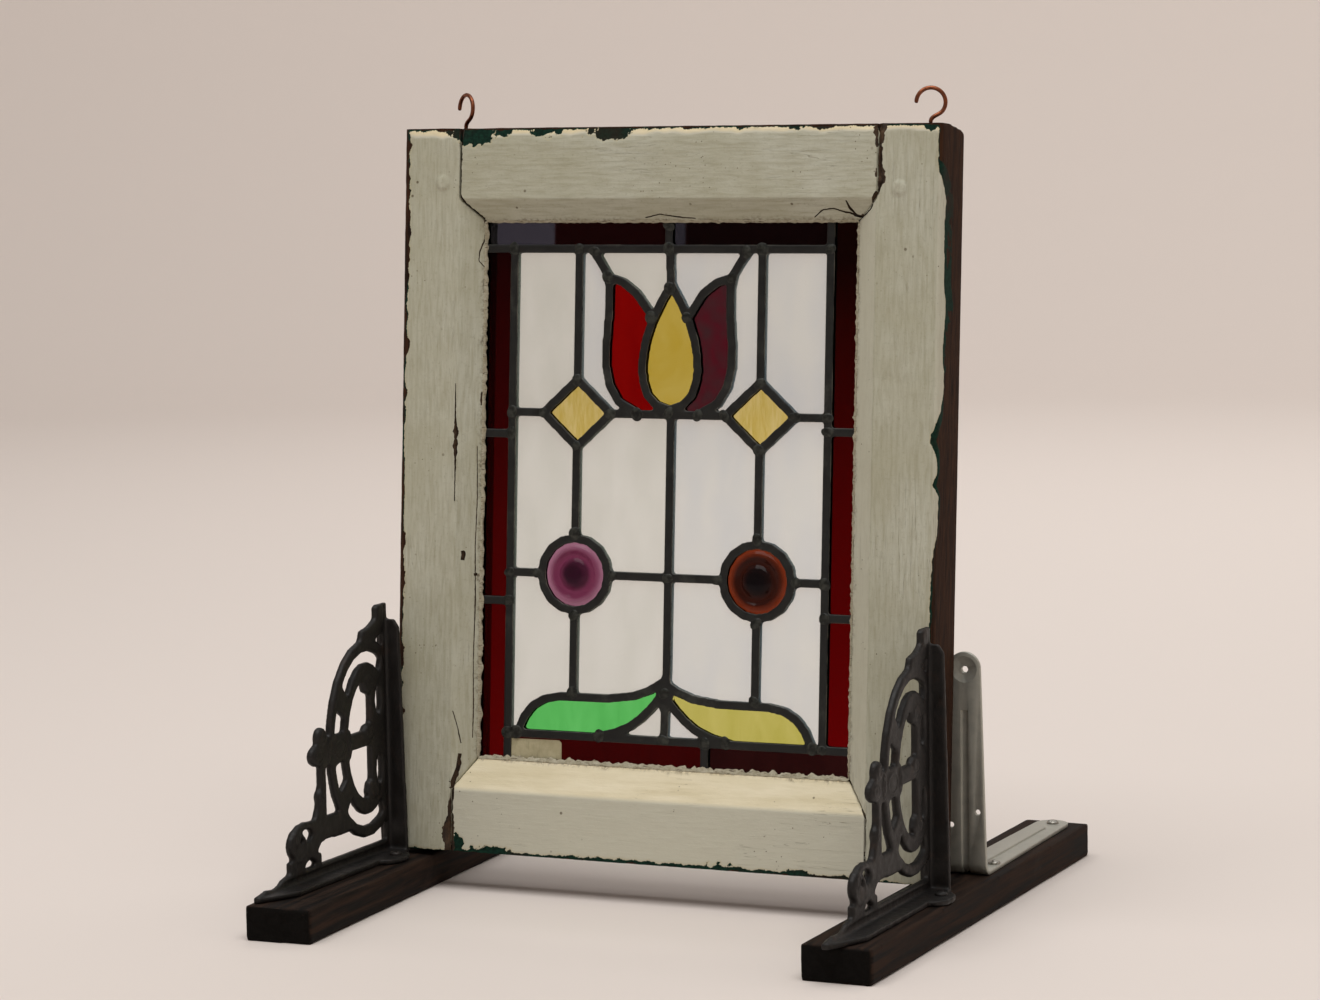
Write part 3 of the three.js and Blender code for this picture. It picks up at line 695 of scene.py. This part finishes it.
def wedge(name, line):
    """A ragged wedge along a split, point inwards, to be cut out of the timber."""
    depth = 3.0  # of the point, in the widest splits
    ahead = 0.8  # of the surface, where the wedge is open
    step = 1.3  # from one section of the wedge to the next
    ragged = 0.45
    line = np.array(line, float)
    runs = np.hypot(*np.diff(line[:, :2], axis=0).T)
    reach = np.concatenate([[0], np.cumsum(runs)])
    stations = np.linspace(0, reach[-1], max(3, int(reach[-1] / step)))
    across, up, half = (np.interp(stations, reach, line[:, i]) for i in range(3))
    jitter = lumps([(s, 0, len(name)) for s in stations], 3, len(name), 4)
    other = lumps([(s, 9, len(name)) for s in stations], 2.5, len(name) + 5, 4)
    run = np.stack([np.gradient(across), np.gradient(up)], 1)
    side = np.stack([-run[:, 1], run[:, 0]], 1) / np.hypot(*run.T)[:, None]
    half = half * (1 + ahead / depth)
    corners = []
    for i in range(len(stations)):
        surface = moulding_depth(across[i], up[i])
        for reach_out, back in (
            (-half[i] * (1 + ragged * jitter[i]), surface - ahead),
            (half[i] * (1 + ragged * other[i]), surface - ahead),
            (0.4 * half[i] * other[i], surface + depth * min(1, 0.5 + half[i] / 3)),
        ):
            place = (across[i], up[i]) + reach_out * side[i]
            corners.append((place[0] * MM, back * MM, place[1] * MM))
    count = len(stations)
    faces = [(0, 1, 2), (3 * count - 1, 3 * count - 2, 3 * count - 3)]
    for i in range(count - 1):
        for a, b in ((0, 1), (1, 2), (2, 0)):
            faces.append((3 * i + b, 3 * i + a, 3 * i + a + 3, 3 * i + b + 3))
    made = shell(name, corners, faces)
    # the faces that it cuts take the member's second finish, the bare wood
    made.data.materials.append(bare_wood)
    made.data.materials.append(bare_wood)
    for face in made.data.polygons:
        face.material_index = 1
    return made


def patchy(places, across, up):
    """How deep a place is inside the green patches, in millimetres; below 0 outside them."""
    best = np.full(len(places), -50.0)
    for x, z, half_length, half_height in GREEN_PATCHES:
        share = np.hypot((across - x) / half_length, (up - z) / half_height)
        best = np.maximum(best, (1 - share) * half_height)
    return best


def weather(piece, rail):
    """Writes where the top coat and the green are lost, then sinks the surface there."""
    places, facing = vertices(piece)
    across, back, up = places.T
    rough = lumps(places, 7, 3, 4)
    slow = lumps(places, 28, 8, 3)
    torn = lumps(places, 4.5, 11, 4)

    # each of these is how far a place is inside a flaked stretch, in millimetres
    from_top = SASH["height"] - up - back
    from_bottom = up - back
    from_left = across + SASH["half_width"] - back
    from_right = SASH["half_width"] - across - back
    top_edge = 2.6 + 1.5 * rough + slow - from_top
    bottom_edge = (2.6 if rail else 0.6) + 1.5 * rough + 0.8 * slow - from_bottom
    left_edge = 5.6 + 1.8 * rough + 2.4 * slow - from_left
    white = np.interp(up, *np.array(WHITE_ON_SIDE, float).T)
    green = np.interp(up, *np.array(GREEN_ON_SIDE, float).T)
    right_edge = -from_right - white + 1.5 * rough
    patches = patchy(places, across, up) + 1.6 * rough + 2.6 * torn
    # the paint stops short of the back, and on the outer sides a little behind the face
    behind = np.where(np.abs(across) > 156, back - 14, back - 47)
    lost = np.max([top_edge, bottom_edge, left_edge, right_edge, patches, behind], axis=0)
    bare = [
        top_edge - 1.1 + 1.5 * slow,
        bottom_edge - 2.6 + slow,
        left_edge - 1.4 + 4 * slow,
        right_edge - green,
        np.where(behind > 0, 6 * slow + 3 * rough - 1.2, -9),
    ]
    wood = np.max(bare, axis=0)

    # fresher cream paint along the top, on the sill and down the right of the opening; on the sill
    # moulding, which faces up, the brightness is partly painted light from above
    cream_and_highlight = np.clip((7 + 2.5 * slow - from_top) / 3, 0, 1)
    if rail:
        # painted light: the upward-facing sill moulding is made brighter, partly for its paint and
        # partly as the light from above would make it
        lit_sill = np.clip((up - FACE_OPENING["bottom"] + 1) / 3, 0, 1) * (up < 90)
        cream_and_highlight = np.maximum(cream_and_highlight, 0.27 * (up < 90) + 0.6 * lit_sill)
    else:
        cream_and_highlight = np.maximum(cream_and_highlight, 0.16 * (across > 145) * (back > 1) * (back < 13))

    # dirt in the angle between the moulding and the glass
    margin = 8
    inwards = [
        SIGHT["right"] + margin - across,
        across - SIGHT["left"] + margin,
        SIGHT["top"] + margin - up,
        up - SIGHT["bottom"] + margin,
    ]
    grime = np.clip((np.min(inwards, axis=0) - 4.5 + 2 * rough) / 4, 0, 1) * (back > 4)
    for name, values in (("lost", lost), ("wood", wood), ("cream_and_highlight", cream_and_highlight), ("grime", grime)):
        write_layer(piece, name, values)

    step = np.clip((lost + 0.3) / 0.8, 0, 1)
    deeper = np.clip((wood + 0.3) / 1.2, 0, 1)
    lift = 0.22 * slow + 0.1 * rough - 0.4 * step - 0.3 * deeper
    on_face = back < 3
    for x, z in DOWELS:
        away = np.hypot(across - x, up - z)
        lift += np.where((away < 8) & on_face, 1.1 * np.clip(DOWEL_RADIUS - away, 0, 1), 0)
    # the top rail's upper edge is worn away
    lift -= np.clip((up - 523) / 11, 0, 1) * on_face * rail
    inside = np.clip(1 - back / 30, 0, 1)
    set_vertices(piece, places + facing * (lift * (0.3 + 0.7 * inside))[:, None])


def sash_place(place):
    """The object's coordinates turned into the sash's own."""
    sockets = {"Vector": place, "Location": sash_base, "Rotation": (-LEAN, 0, 0)}
    return place.node("Mapping", {"vector_type": "TEXTURE"}, sockets)


def bare_timber():
    made, shader, place = material("bare_wood")
    grain = sash_place(place).stretched((260, 260, 30)).noise(1.0, 5, 0.65, 0.8)
    colour = grain.ramp(0.32, 0.68).tint(rgb(48, 34, 22), rgb(92, 68, 44))
    dark = place.noise(120, 3, 0.6)
    colour = (dark.ramp(0.35, 0.6) * 0.6).tint(colour, rgb(28, 19, 13))
    wire(shader, Base_Color=colour, Roughness=0.9, Normal=grain.bump(0.6, 0.001))
    return made


def old_paint(name, along):
    """Off-white gloss brushed along the member, over green, over bare wood."""
    made, shader, place = material(name)
    sash = sash_place(place)

    def drawn_out(length, width):
        """The sash's coordinates with a pattern drawn out along the member."""
        return sash.stretched([length if share else width for share in along])

    lost, wood, cream_and_highlight, grime = (place.layer(n) for n in ("lost", "wood", "cream_and_highlight", "grime"))
    brush = drawn_out(46, 420).noise(1.0, 4, 0.6, 0.3)
    cloud = sash.noise(11, 4, 0.6)
    fine = sash.noise(420, 4, 0.65)
    nibble = sash.noise(900, 3, 0.6)

    # the white, brushed, yellowed and fresher in places, and brighter on the sill as painted light
    # from above
    white = cloud.ramp(0.36, 0.64).tint(rgb(178, 176, 154), rgb(192, 192, 175))
    white = (brush.ramp(0.42, 0.68) * 0.55).tint(white, rgb(158, 154, 130))
    white = (fine.ramp(0.55, 0.72) * 0.35).tint(white, rgb(144, 138, 114))
    # painted highlight: where the cream layer is high, on the sill moulding, the bright cream
    # stands in partly for light from above
    white = cream_and_highlight.ramp(0, 0.3).tint(white, rgb(206, 204, 186))
    streak = sash.stretched((20, 60, 160)).noise(1.0, 3, 0.6)
    full = streak.ramp(0.3, 0.7).tint(rgb(244, 232, 200), rgb(226, 212, 174))
    white = cream_and_highlight.ramp(0.3, 1).tint(white, full)

    # hair cracks along the grain, fly specks and dirt
    hair = drawn_out(5, 150).noise(1.0, 3, 0.6, 0.2)
    cracks = (1 - abs(hair - 0.5).ramp(0.0, 0.006)) * cloud.ramp(0.48, 0.6)
    white = (cracks * 0.5).tint(white, rgb(112, 104, 84))
    specks = (1 - sash.spots(75).ramp(0.06, 0.1)) * sash.noise(36, 3, 0.6).ramp(0.52, 0.62)
    flecks = (1 - sash.spots(200).ramp(0.07, 0.12)) * sash.noise(17, 3, 0.6).ramp(0.52, 0.6)
    dirt = (grime * fine.ramp(0.38, 0.62)).most(specks.most(flecks) * 0.8)
    edge = lost.ramp(-1.6, -0.2) * nibble.ramp(0.35, 0.6) * 0.6
    white = edge.tint(white, rgb(206, 194, 150))
    white = dirt.tint(white, rgb(84, 70, 50))

    # the green shows where the white is gone, and the wood where both are
    gone = (lost + nibble * 2.4 - 1.2).ramp(-0.12, 0.12)
    bare = (wood + nibble * 2.4 - 1.2).ramp(-0.12, 0.12)
    green = fine.ramp(0.35, 0.65).tint(rgb(8, 30, 22), rgb(18, 52, 40))
    green = cloud.ramp(0.5, 0.62).tint(green, rgb(40, 34, 26))
    grain = drawn_out(30, 260).noise(1.0, 5, 0.65, 0.8)
    brown = grain.ramp(0.32, 0.68).tint(rgb(26, 14, 7), rgb(64, 38, 21))
    height = brush * 0.35 + fine * 0.25 + cloud * 0.2 - cracks * 0.3 - gone * 0.8 - bare * 0.6
    wire(
        shader,
        Base_Color=bare.tint(gone.tint(white, green), brown),
        Roughness=gone.most(dirt).ramp(0, 1, 0.46, 0.85),
        Specular_IOR_Level=0.15,
        Normal=(height + grain * bare * 0.8).bump(0.5, 0.0012),
    )
    return made


bare_wood = bare_timber()
members = {
    "stile_left": (old_paint("paint_on_stiles", (0, 0, 1)), False),
    "rail_top": (old_paint("paint_on_rails", (1, 0, 0)), True),
}
members["stile_right"] = members["stile_left"]
members["rail_bottom"] = members["rail_top"]
wedges = {name: wedge("split_" + name, line) for name, line in SPLITS.items()}
for node, (coat, rail) in members.items():
    member = copy_of(node, f"sash_{node}")
    member.data.transform(in_sash.inverted())
    modified(member, "REMESH", mode="VOXEL", voxel_size=GRAIN_OF_MESH, use_smooth_shade=True)
    member.data.materials.clear()
    member.data.materials.append(coat)
    member.data.materials.append(bare_wood)
    side = node.split("_")[1]
    for name, tool in wedges.items():
        if side in name.split("_"):
            modified(member, "BOOLEAN", operation="DIFFERENCE", solver="MANIFOLD", object=tool)
    weather(member, rail)
    member.data.transform(in_sash)
    smooth(member, 50)
    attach(member, "root")
    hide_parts(node)
for tool in wedges.values():
    bpy.data.objects.remove(tool)

# ---- Leads ----
# H-section cames, soldered where they meet. Their faces are rounded and have gone nearly black,
# with a painted highlight in patches along their rounded rims, and flat rough puddles of solder at
# the joints.


def old_lead():
    made, shader, place = material("lead")
    dull = place.noise(140, 4, 0.65)
    scrape = place.noise(38, 5, 0.7)
    colour = dull.ramp(0.4, 0.7).tint(rgb(8, 10, 9), rgb(22, 24, 21))
    colour = (scrape.ramp(0.56, 0.7) * 0.5).tint(colour, rgb(66, 68, 62))
    rim = place.layer("rim")
    # painted highlight: the rims of the cames are lightened in patches for the light that they
    # catch
    colour = (rim * scrape.ramp(0.42, 0.6) * 0.7).tint(colour, rgb(128, 124, 110))
    wire(
        shader,
        Base_Color=colour,
        Metallic=0.15,
        Roughness=dull.ramp(0.3, 0.7, 0.36, 0.6),
        Normal=(dull * 0.6 + scrape * 0.4).bump(0.4, 0.001),
    )
    return made


def solder_metal():
    made, shader, place = material("solder")
    dull = place.noise(260, 4, 0.65)
    colour = dull.ramp(0.4, 0.68).tint(rgb(20, 22, 19), rgb(62, 64, 58))
    wire(
        shader,
        Base_Color=colour,
        Metallic=0.4,
        Roughness=dull.ramp(0.3, 0.7, 0.3, 0.55),
        Normal=dull.bump(0.4, 0.001),
    )
    return made


COLUMN = 72
TULIP_ROW = 325.7
ROUNDEL_ROW = 207.7
BORDER = {"side": 124.5, "bottom": 89.3, "top": 445.7}
CAME_FRONT = 13.5
RIM_DEPTH = 1.7
DEEPENED = 1.7
lead = old_lead()
cames = copy_of("lead_cames", "leads")
cames.data.transform(in_sash.inverted())
# while they are remeshed the thin cames are made deeper, back from their front
to_front = Matrix.Translation((0, CAME_FRONT * MM, 0))
deepened = to_front @ Matrix.Diagonal((1, DEEPENED, 1, 1)) @ to_front.inverted()
cames.data.transform(deepened)
modified(cames, "REMESH", mode="VOXEL", voxel_size=0.0009, use_smooth_shade=True)
softened(cames, 4)
modified(cames, "DECIMATE", ratio=0.3)
cames.data.transform(deepened.inverted())
places, facing = vertices(cames)
set_vertices(cames, places + facing * (0.15 + 0.12 * lumps(places, 9, 5))[:, None])
# the rounded sides near the front of the cames, which carry the painted highlight
rim_highlight_mask = (np.abs(facing[:, 1]) < 0.8) & (places[:, 1] < CAME_FRONT + RIM_DEPTH)
write_layer(cames, "rim", rim_highlight_mask)

# The soldered joints, (across, up): single ones, then those that come in pairs, left and right.
JOINTS = [
    (-1, BORDER["top"]),
    (0.4, 417),
    (1.2, 327),
    (2.5, ROUNDEL_ROW),
    (1.2, 124),
    (1.2, 90),
    (33.7, BORDER["bottom"]),
    (-150, 310),
    (-124.5, 310),
    (-124.5, 186.7),
    (-150, 186.7),
    (124.5, 315.9),
    (124.5, 183.2),
    (-1, 462),
]
PAIRED_JOINTS = [
    (BORDER["side"], BORDER["top"]),
    (BORDER["side"], BORDER["bottom"]),
    (BORDER["side"], TULIP_ROW),
    (BORDER["side"], ROUNDEL_ROW),
    (COLUMN, BORDER["top"]),
    (60, BORDER["top"] - 2),
    (48.8, 425),
    (14, 396),
    (COLUMN, TULIP_ROW + 24),
    (COLUMN, TULIP_ROW - 24),
    (COLUMN + 27, TULIP_ROW),
    (COLUMN - 27, TULIP_ROW),
    (24, TULIP_ROW),
    (COLUMN, ROUNDEL_ROW + 30),
    (COLUMN, ROUNDEL_ROW - 30),
    (COLUMN + 30.5, ROUNDEL_ROW),
    (COLUMN - 30.5, ROUNDEL_ROW),
    (COLUMN, 121),
    (117, 90),
    (50, 90.5),
]
JOINTS += [(way * across, up) for way in (-1, 1) for across, up in PAIRED_JOINTS]
PUDDLE = {"wide": 4.4, "tall": 4.2, "deep": 0.75, "varied": 0.8}
puddles = []
for number, (across, up) in enumerate(JOINTS):
    wide = PUDDLE["wide"] + PUDDLE["varied"] * sin(7.3 * number)
    tall = PUDDLE["tall"] + PUDDLE["varied"] * cos(5.1 * number)
    seat = Matrix.Translation((across * MM, (CAME_FRONT - 0.1) * MM, up * MM))
    halves = Matrix.Diagonal((wide * MM, PUDDLE["deep"] * MM, tall * MM, 1))
    puddles.append(ball(seat @ Matrix.Rotation(number, 4, "Y") @ halves, 18, 10))
alone(*puddles)
bpy.ops.object.join()
solder = bpy.context.object
solder.name = "solder_joints"
places, facing = vertices(solder)
set_vertices(solder, places + facing * (0.45 * lumps(places, 3, 5))[:, None] * (1, 0.3, 1))
for piece in (cames, solder):
    piece.data.transform(in_sash)
    smooth(piece, 50)
fitted(cames, "lead", lead, "lead_cames")
fitted(solder, "lead", solder_metal())

# ---- Glass ----
# Thin sheet glass, clear or coloured through. The border strips are cut from a streaky sheet that
# darkens upwards, and the ochre is a cloudy cathedral glass.


def paint(node, finish):
    """Gives a CAD node its finish."""
    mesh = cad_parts[node].data
    mesh.materials.clear()
    mesh.materials.append(finish)


def coloured_glass(name):
    """Coloured glass that still lacks its tint."""
    made, shader, place = material(name)
    wire(
        shader,
        Transmission_Weight=1.0,
        Roughness=0.1,
        IOR=1.1,
        Normal=place.noise(30, 2, 0.5).bump(0.08, 0.002),
    )
    return made, shader, place


def sheet_glass(name, deep, pale, streak=(60, 60, 14)):
    """Coloured glass, streaked between two tints."""
    made, shader, place = coloured_glass(name)
    mix = place.stretched(streak).noise(1.0, 4, 0.6, 1.2)
    wire(shader, Base_Color=mix.ramp(0.35, 0.65).tint(deep, pale))
    return made


def border_glass(name, low_tint, high_tint, slate=None):
    """Ruby strip, darker towards the top of the window; slate marks its greyish end."""
    made, shader, place = coloured_glass(name)
    across, back, up = sash_place(place).parts()
    height = (up + place.noise(12, 3, 0.5) * 0.06 - 0.03).ramp(0.09, 0.44)
    tint = height.tint(low_tint, high_tint)
    if slate:
        near, far, colour = slate
        grey = across.ramp(near, near + 0.002) * (1 - across.ramp(far - 0.002, far))
        tint = grey.tint(tint, colour)
    wire(shader, Base_Color=tint)
    return made


def clear_glass(name, tint):
    """Drawn sheet glass, a little wavy, with a film of dust."""
    made, shader, place = material(name)
    film = place.stretched((40, 40, 12)).noise(1.0, 4, 0.6)
    wire(
        shader,
        Base_Color=film.ramp(0.3, 0.7).tint(tint, rgb(214, 226, 216)),
        Alpha=0.2,
        Roughness=0.06,
        Specular_IOR_Level=0.3,
        Normal=place.noise(14, 2, 0.5).bump(0.1, 0.002),
    )
    return made


ruby_strips = {
    "left": border_glass("red_glass_left", rgb(88, 2, 3), rgb(30, 3, 4)),
    "right": border_glass("red_glass_right", rgb(98, 1, 3), rgb(20, 3, 2)),
}
for side, ruby in ruby_strips.items():
    for height in ("lower", "middle", "upper"):
        paint(f"border_{side}_{height}", ruby)
# where the top strips turn greyish, from and to in metres across the sash
slate_end = (-0.17, -0.092, rgb(64, 64, 76))
slate_band = (0.0, 0.012, rgb(50, 50, 60))
ochre = sheet_glass("ochre_glass", rgb(208, 186, 74), rgb(214, 196, 96), (30, 30, 30))
milky = sheet_glass(
    "streaky_ochre_glass", rgb(214, 194, 96), rgb(232, 218, 150), (210, 210, 34)
)
single_panes = {
    "border_bottom_left": sheet_glass("red_glass_bottom", rgb(54, 4, 5), rgb(62, 5, 6)),
    "border_bottom_right": sheet_glass("plum_glass_bottom", rgb(38, 12, 13), rgb(46, 17, 17)),
    "border_top_left": border_glass(
        "red_glass_top_left", rgb(36, 6, 9), rgb(26, 5, 6), slate_end
    ),
    "border_top_right": border_glass(
        "red_glass_top_right", rgb(30, 5, 6), rgb(16, 5, 6), slate_band
    ),
    "petal_left": sheet_glass("bright_red_glass", rgb(136, 3, 4), rgb(146, 8, 6)),
    "petal_centre": ochre,
    "petal_right": sheet_glass("plum_glass", rgb(92, 22, 38), rgb(74, 46, 52), (70, 70, 60)),
    "leaf_left": sheet_glass("green_glass", rgb(94, 204, 104), rgb(108, 216, 118)),
    "leaf_right": sheet_glass("yellow_green_glass", rgb(196, 194, 96), rgb(210, 206, 118)),
    "diamond_left": milky,
    "diamond_right": milky,
}
for node, finish in single_panes.items():
    paint(node, finish)
cool = clear_glass("clear_glass_cool", rgb(152, 184, 202))
warm = clear_glass("clear_glass_warm", rgb(160, 180, 160))
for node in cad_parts:
    if node.startswith("clear_"):
        paint(node, cool if node.endswith("right") or "tulip" in node else warm)

# ---- Roundels ----
# Two pressed bull's-eyes: a flat rim, a ring that stands proud, a dish and a domed middle, moulded
# in one piece of glass that looks darker where it is thicker.

ROUNDEL_BACK = 17.6
# The section, from the rim inwards: (radius, how far it stands in front of the flat back).
ROUNDEL_PROFILE = [
    (24.6, 0),
    (24.6, 2.6),
    (22.6, 2.9),
    (20.9, 4.1),
    (19.6, 5.1),
    (18.2, 5.2),
    (16.6, 4.4),
    (15.0, 3.4),
    (13.2, 3.0),
    (11.8, 3.5),
    (10.6, 4.7),
    (9.2, 5.5),
    (6.5, 6.0),
    (3.5, 6.3),
    (0, 6.4),
]


def pressed_glass(name, middle, rim, ring, heart):
    """Glass tinted by its distance from the middle of the roundel."""
    made, shader, place = material(name)
    away = place.node("VectorMath", {"operation": "DISTANCE"}, {0: place, 1: middle}, "Value")
    reach = away + (place.noise(120, 3, 0.6) * 0.0016 - 0.0008)
    tint = reach.ramp(0.0175, 0.0215).tint(ring, rim)
    tint = reach.ramp(0.0085, 0.0125).tint(heart, tint)
    wire(
        shader,
        Base_Color=tint,
        Transmission_Weight=1.0,
        Roughness=0.06,
        IOR=1.2,
        Normal=place.noise(160, 2, 0.5).bump(0.06, 0.001),
    )
    return made


# Where each stands across the sash, its glass, and the tints of its rim, ring and middle.
ROUNDELS = {
    "left": (-COLUMN, "purple_glass", rgb(166, 118, 146), rgb(116, 52, 84), rgb(48, 18, 36)),
    "right": (COLUMN, "amber_glass", rgb(122, 50, 26), rgb(48, 18, 11), rgb(14, 9, 12)),
}
for side, (across, glass, rim, ring, heart) in ROUNDELS.items():
    outline = bpy.data.meshes.new(f"bulls_eye_{side}")
    corners = [(radius * MM, -front * MM, 0) for radius, front in ROUNDEL_PROFILE]
    outline.from_pydata(corners, [(i, i + 1) for i in range(len(corners) - 1)], [])
    eye = linked(f"bulls_eye_{side}", outline)
    opened(eye)
    bpy.ops.mesh.spin(steps=72, angle=2 * pi, center=(0, 0, 0), axis=(0, 1, 0))
    bpy.ops.mesh.select_all(action="SELECT")
    bpy.ops.mesh.remove_doubles(threshold=1e-5)
    bpy.ops.mesh.select_all(action="DESELECT")
    bpy.ops.mesh.select_mode(type="EDGE")
    bpy.ops.mesh.select_non_manifold()
    bpy.ops.mesh.edge_face_add()
    bpy.ops.mesh.select_all(action="SELECT")
    bpy.ops.mesh.normals_make_consistent(inside=False)
    bpy.ops.object.mode_set(mode="OBJECT")
    seat = in_sash @ Matrix.Translation((across * MM, ROUNDEL_BACK * MM, ROUNDEL_ROW * MM))
    eye.data.transform(seat)
    smooth(eye, 50)
    finish = pressed_glass(glass, seat.translation, rim, ring, heart)
    fitted(eye, glass, finish, f"roundel_{side}")

# ---- Putty and sticker ----
# A fillet of linseed putty behind the glass, a thin ragged bead of it squeezed out in front, and
# the stub of a paper sticker at the bottom.


def putty():
    made, shader, place = material("putty")
    grit = place.noise(240, 4, 0.7)
    lines = place.stretched((160, 160, 900)).noise(1.0, 4, 0.7)
    colour = grit.ramp(0.35, 0.7).tint(rgb(186, 180, 158), rgb(150, 140, 114))
    colour = (lines.ramp(0.56, 0.64) * 0.8).tint(colour, rgb(74, 58, 40))
    wire(shader, Base_Color=colour, Roughness=0.85, Normal=(grit + lines).bump(0.7, 0.001))
    return made


def paper():
    made, shader, place = material("paper")
    stain = place.noise(90, 4, 0.7)
    colour = stain.ramp(0.35, 0.7).tint(rgb(192, 184, 150), rgb(166, 157, 124))
    fade = place.stretched((300, 300, 60)).noise(1.0, 3, 0.6)
    colour = (fade.ramp(0.55, 0.68) * 0.3).tint(colour, rgb(120, 112, 86))
    wire(shader, Base_Color=colour, Roughness=0.85)
    return made


old_putty = putty()
paint("glazing_putty", old_putty)
paint("paper_label", paper())

# the bead, run round the opening from its bottom left corner
corners = [
    (SIGHT["left"], SIGHT["bottom"]),
    (SIGHT["right"], SIGHT["bottom"]),
    (SIGHT["right"], SIGHT["top"]),
    (SIGHT["left"], SIGHT["top"]),
]
BEAD_WIDTHS = (2.2, 1.2, 0.7, 1.2)
BEAD_STEP = 1.5
sections = []
for number, (start, width) in enumerate(zip(corners, BEAD_WIDTHS)):
    start, end = Vector(start), Vector(corners[(number + 1) % 4])
    run = (end - start).normalized()
    inward = Vector((-run.y, run.x))
    length = (end - start).length
    count = int(length / BEAD_STEP)
    for i in range(count):
        at = start + run * (length * i / count)
        wave = lumps([(at.x, 0, at.y)], 5, 9, 4)[0]
        other = lumps([(at.x, 40, at.y)], 4, 3, 4)[0]
        spread = min(1, i / 3, (count - i) / 3)
        lip = inward * (0.15 + spread * max(0.1, width * (0.75 + 1.1 * wave)))
        foot = inward * -(1.2 + 0.5 * other)
        sections.append(
            [
                (at.x + foot.x, 11.0 + 0.25 * other, at.y + foot.y),
                (at.x + 0.45 * lip.x, 11.75 + 0.5 * wave, at.y + 0.45 * lip.y),
                (at.x + lip.x, 13.0, at.y + lip.y),
                (at.x + 0.5 * lip.x, 13.45, at.y + 0.5 * lip.y),
                (at.x + foot.x, 12.6, at.y + foot.y),
            ]
        )
places = [(x * MM, y * MM, z * MM) for section in sections for x, y, z in section]
around = len(sections[0])
faces = []
for i in range(len(sections)):
    after = (i + 1) % len(sections)
    for j in range(around):
        k = (j + 1) % around
        faces.append((around * i + j, around * i + k, around * after + k, around * after + j))
bead = shell("front_putty", places, faces)
bead.data.transform(in_sash)
smooth(bead, 60)
fitted(bead, "putty", old_putty)

# ---- Hooks ----
# Two hooks for hanging, each bent from one length of copper wire into a small loop, with its end
# turned into the top of a stile.


def copper_wire():
    made, shader, place = material("copper_wire")
    tarnish = place.noise(260, 4, 0.65)
    wire(
        shader,
        Base_Color=tarnish.ramp(0.4, 0.7).tint(rgb(150, 88, 60), rgb(84, 52, 40)),
        Metallic=0.95,
        Roughness=tarnish.ramp(0.3, 0.7, 0.28, 0.5),
    )
    return made


# the wire is first made this much thicker, because rounding its corners draws it in
DRAWN_IN = 0.00022
copper = copper_wire()
for side in ("left", "right"):
    hook = copy_of(f"hook_{side}", f"wire_hook_{side}")
    opened(hook)
    bpy.ops.transform.shrink_fatten(value=DRAWN_IN)
    bpy.ops.object.mode_set(mode="OBJECT")
    modified(hook, "SUBSURF", levels=2, render_levels=2)
    smooth(hook, 60)
    fitted(hook, "copper_wire", copper, f"hook_{side}")

# ---- Floor, light and camera ----
# A pale sweep under the stand that rises far off on every side, one broad light overhead, another
# on the sweep behind the window, and a long lens a little above the table.

FLOOR = {"radius": 6.0, "rise": 3.4, "sweep": 1.6}

bpy.ops.mesh.primitive_circle_add(vertices=96, radius=FLOOR["radius"], fill_type="NGON")
floor = bpy.context.object
floor.name = "floor"
bpy.ops.object.mode_set(mode="EDIT")
bpy.ops.mesh.select_all(action="SELECT")
bpy.ops.mesh.select_mode(type="EDGE")
bpy.ops.mesh.region_to_loop()
bpy.ops.mesh.extrude_edges_move(TRANSFORM_OT_translate={"value": (0, 0, FLOOR["rise"])})
bpy.ops.object.mode_set(mode="OBJECT")
modified(
    floor,
    "BEVEL",
    width=FLOOR["sweep"],
    segments=10,
    limit_method="ANGLE",
    angle_limit=radians(60),
)
smooth(floor, 60)


def pale_cloth():
    made, shader, place = material("pale_floor")
    wire(shader, Base_Color=rgb(228, 217, 209), Roughness=0.9)
    return made


floor.data.materials.append(pale_cloth())


def softbox(name, place, aim, size, power):
    """A soft light of this size in metres and power in watts, turned towards its aim."""
    lamp = bpy.data.lights.new(name, "AREA")
    lamp.shape = "RECTANGLE"
    lamp.size, lamp.size_y = size
    lamp.energy = power
    made = linked(name, lamp)
    made.location = place
    made.rotation_euler = (Vector(aim) - Vector(place)).to_track_quat("-Z", "Y").to_euler()


middle = (Vector(cad_box[0]) + Vector(cad_box[1])) / 2
softbox("light_above", (0.2, -0.9, 3.3), middle, (3.4, 2.4), 84)
softbox("light_behind", (0.0, 2.6, 3.2), (0.0, 4.6, 0.0), (4.0, 2.0), 62)

world = bpy.data.worlds.new("room")
world.use_nodes = True
world.node_tree.nodes["Background"].inputs["Color"].default_value = rgb(232, 230, 228)
world.node_tree.nodes["Background"].inputs["Strength"].default_value = 0.42
bpy.context.scene.world = world
bpy.context.scene.view_settings.view_transform = "Standard"

AZIMUTH = radians(23.7)
ELEVATION = radians(6.2)
ROLL = radians(-0.926)
DISTANCE = 2.68327
AIM = {"right_of_middle": 0.010973, "up": 0.295392}
aim = Vector((sash_middle + AIM["right_of_middle"], rail_low.y, AIM["up"]))
back = Vector((sin(AZIMUTH) * cos(ELEVATION), -cos(AZIMUTH) * cos(ELEVATION), sin(ELEVATION)))
level_right = Vector((cos(AZIMUTH), sin(AZIMUTH), 0))
level_up = back.cross(level_right)
right = level_right * cos(ROLL) + level_up * sin(ROLL)
up = level_up * cos(ROLL) - level_right * sin(ROLL)
turned = Matrix((right, up, back)).transposed().to_4x4()
lens = bpy.data.cameras.new("camera")
lens.lens = 102.56
lens.sensor_width = 36
camera = linked("camera", lens)
camera.matrix_world = Matrix.Translation(aim + back * DISTANCE) @ turned
bpy.context.scene.camera = camera
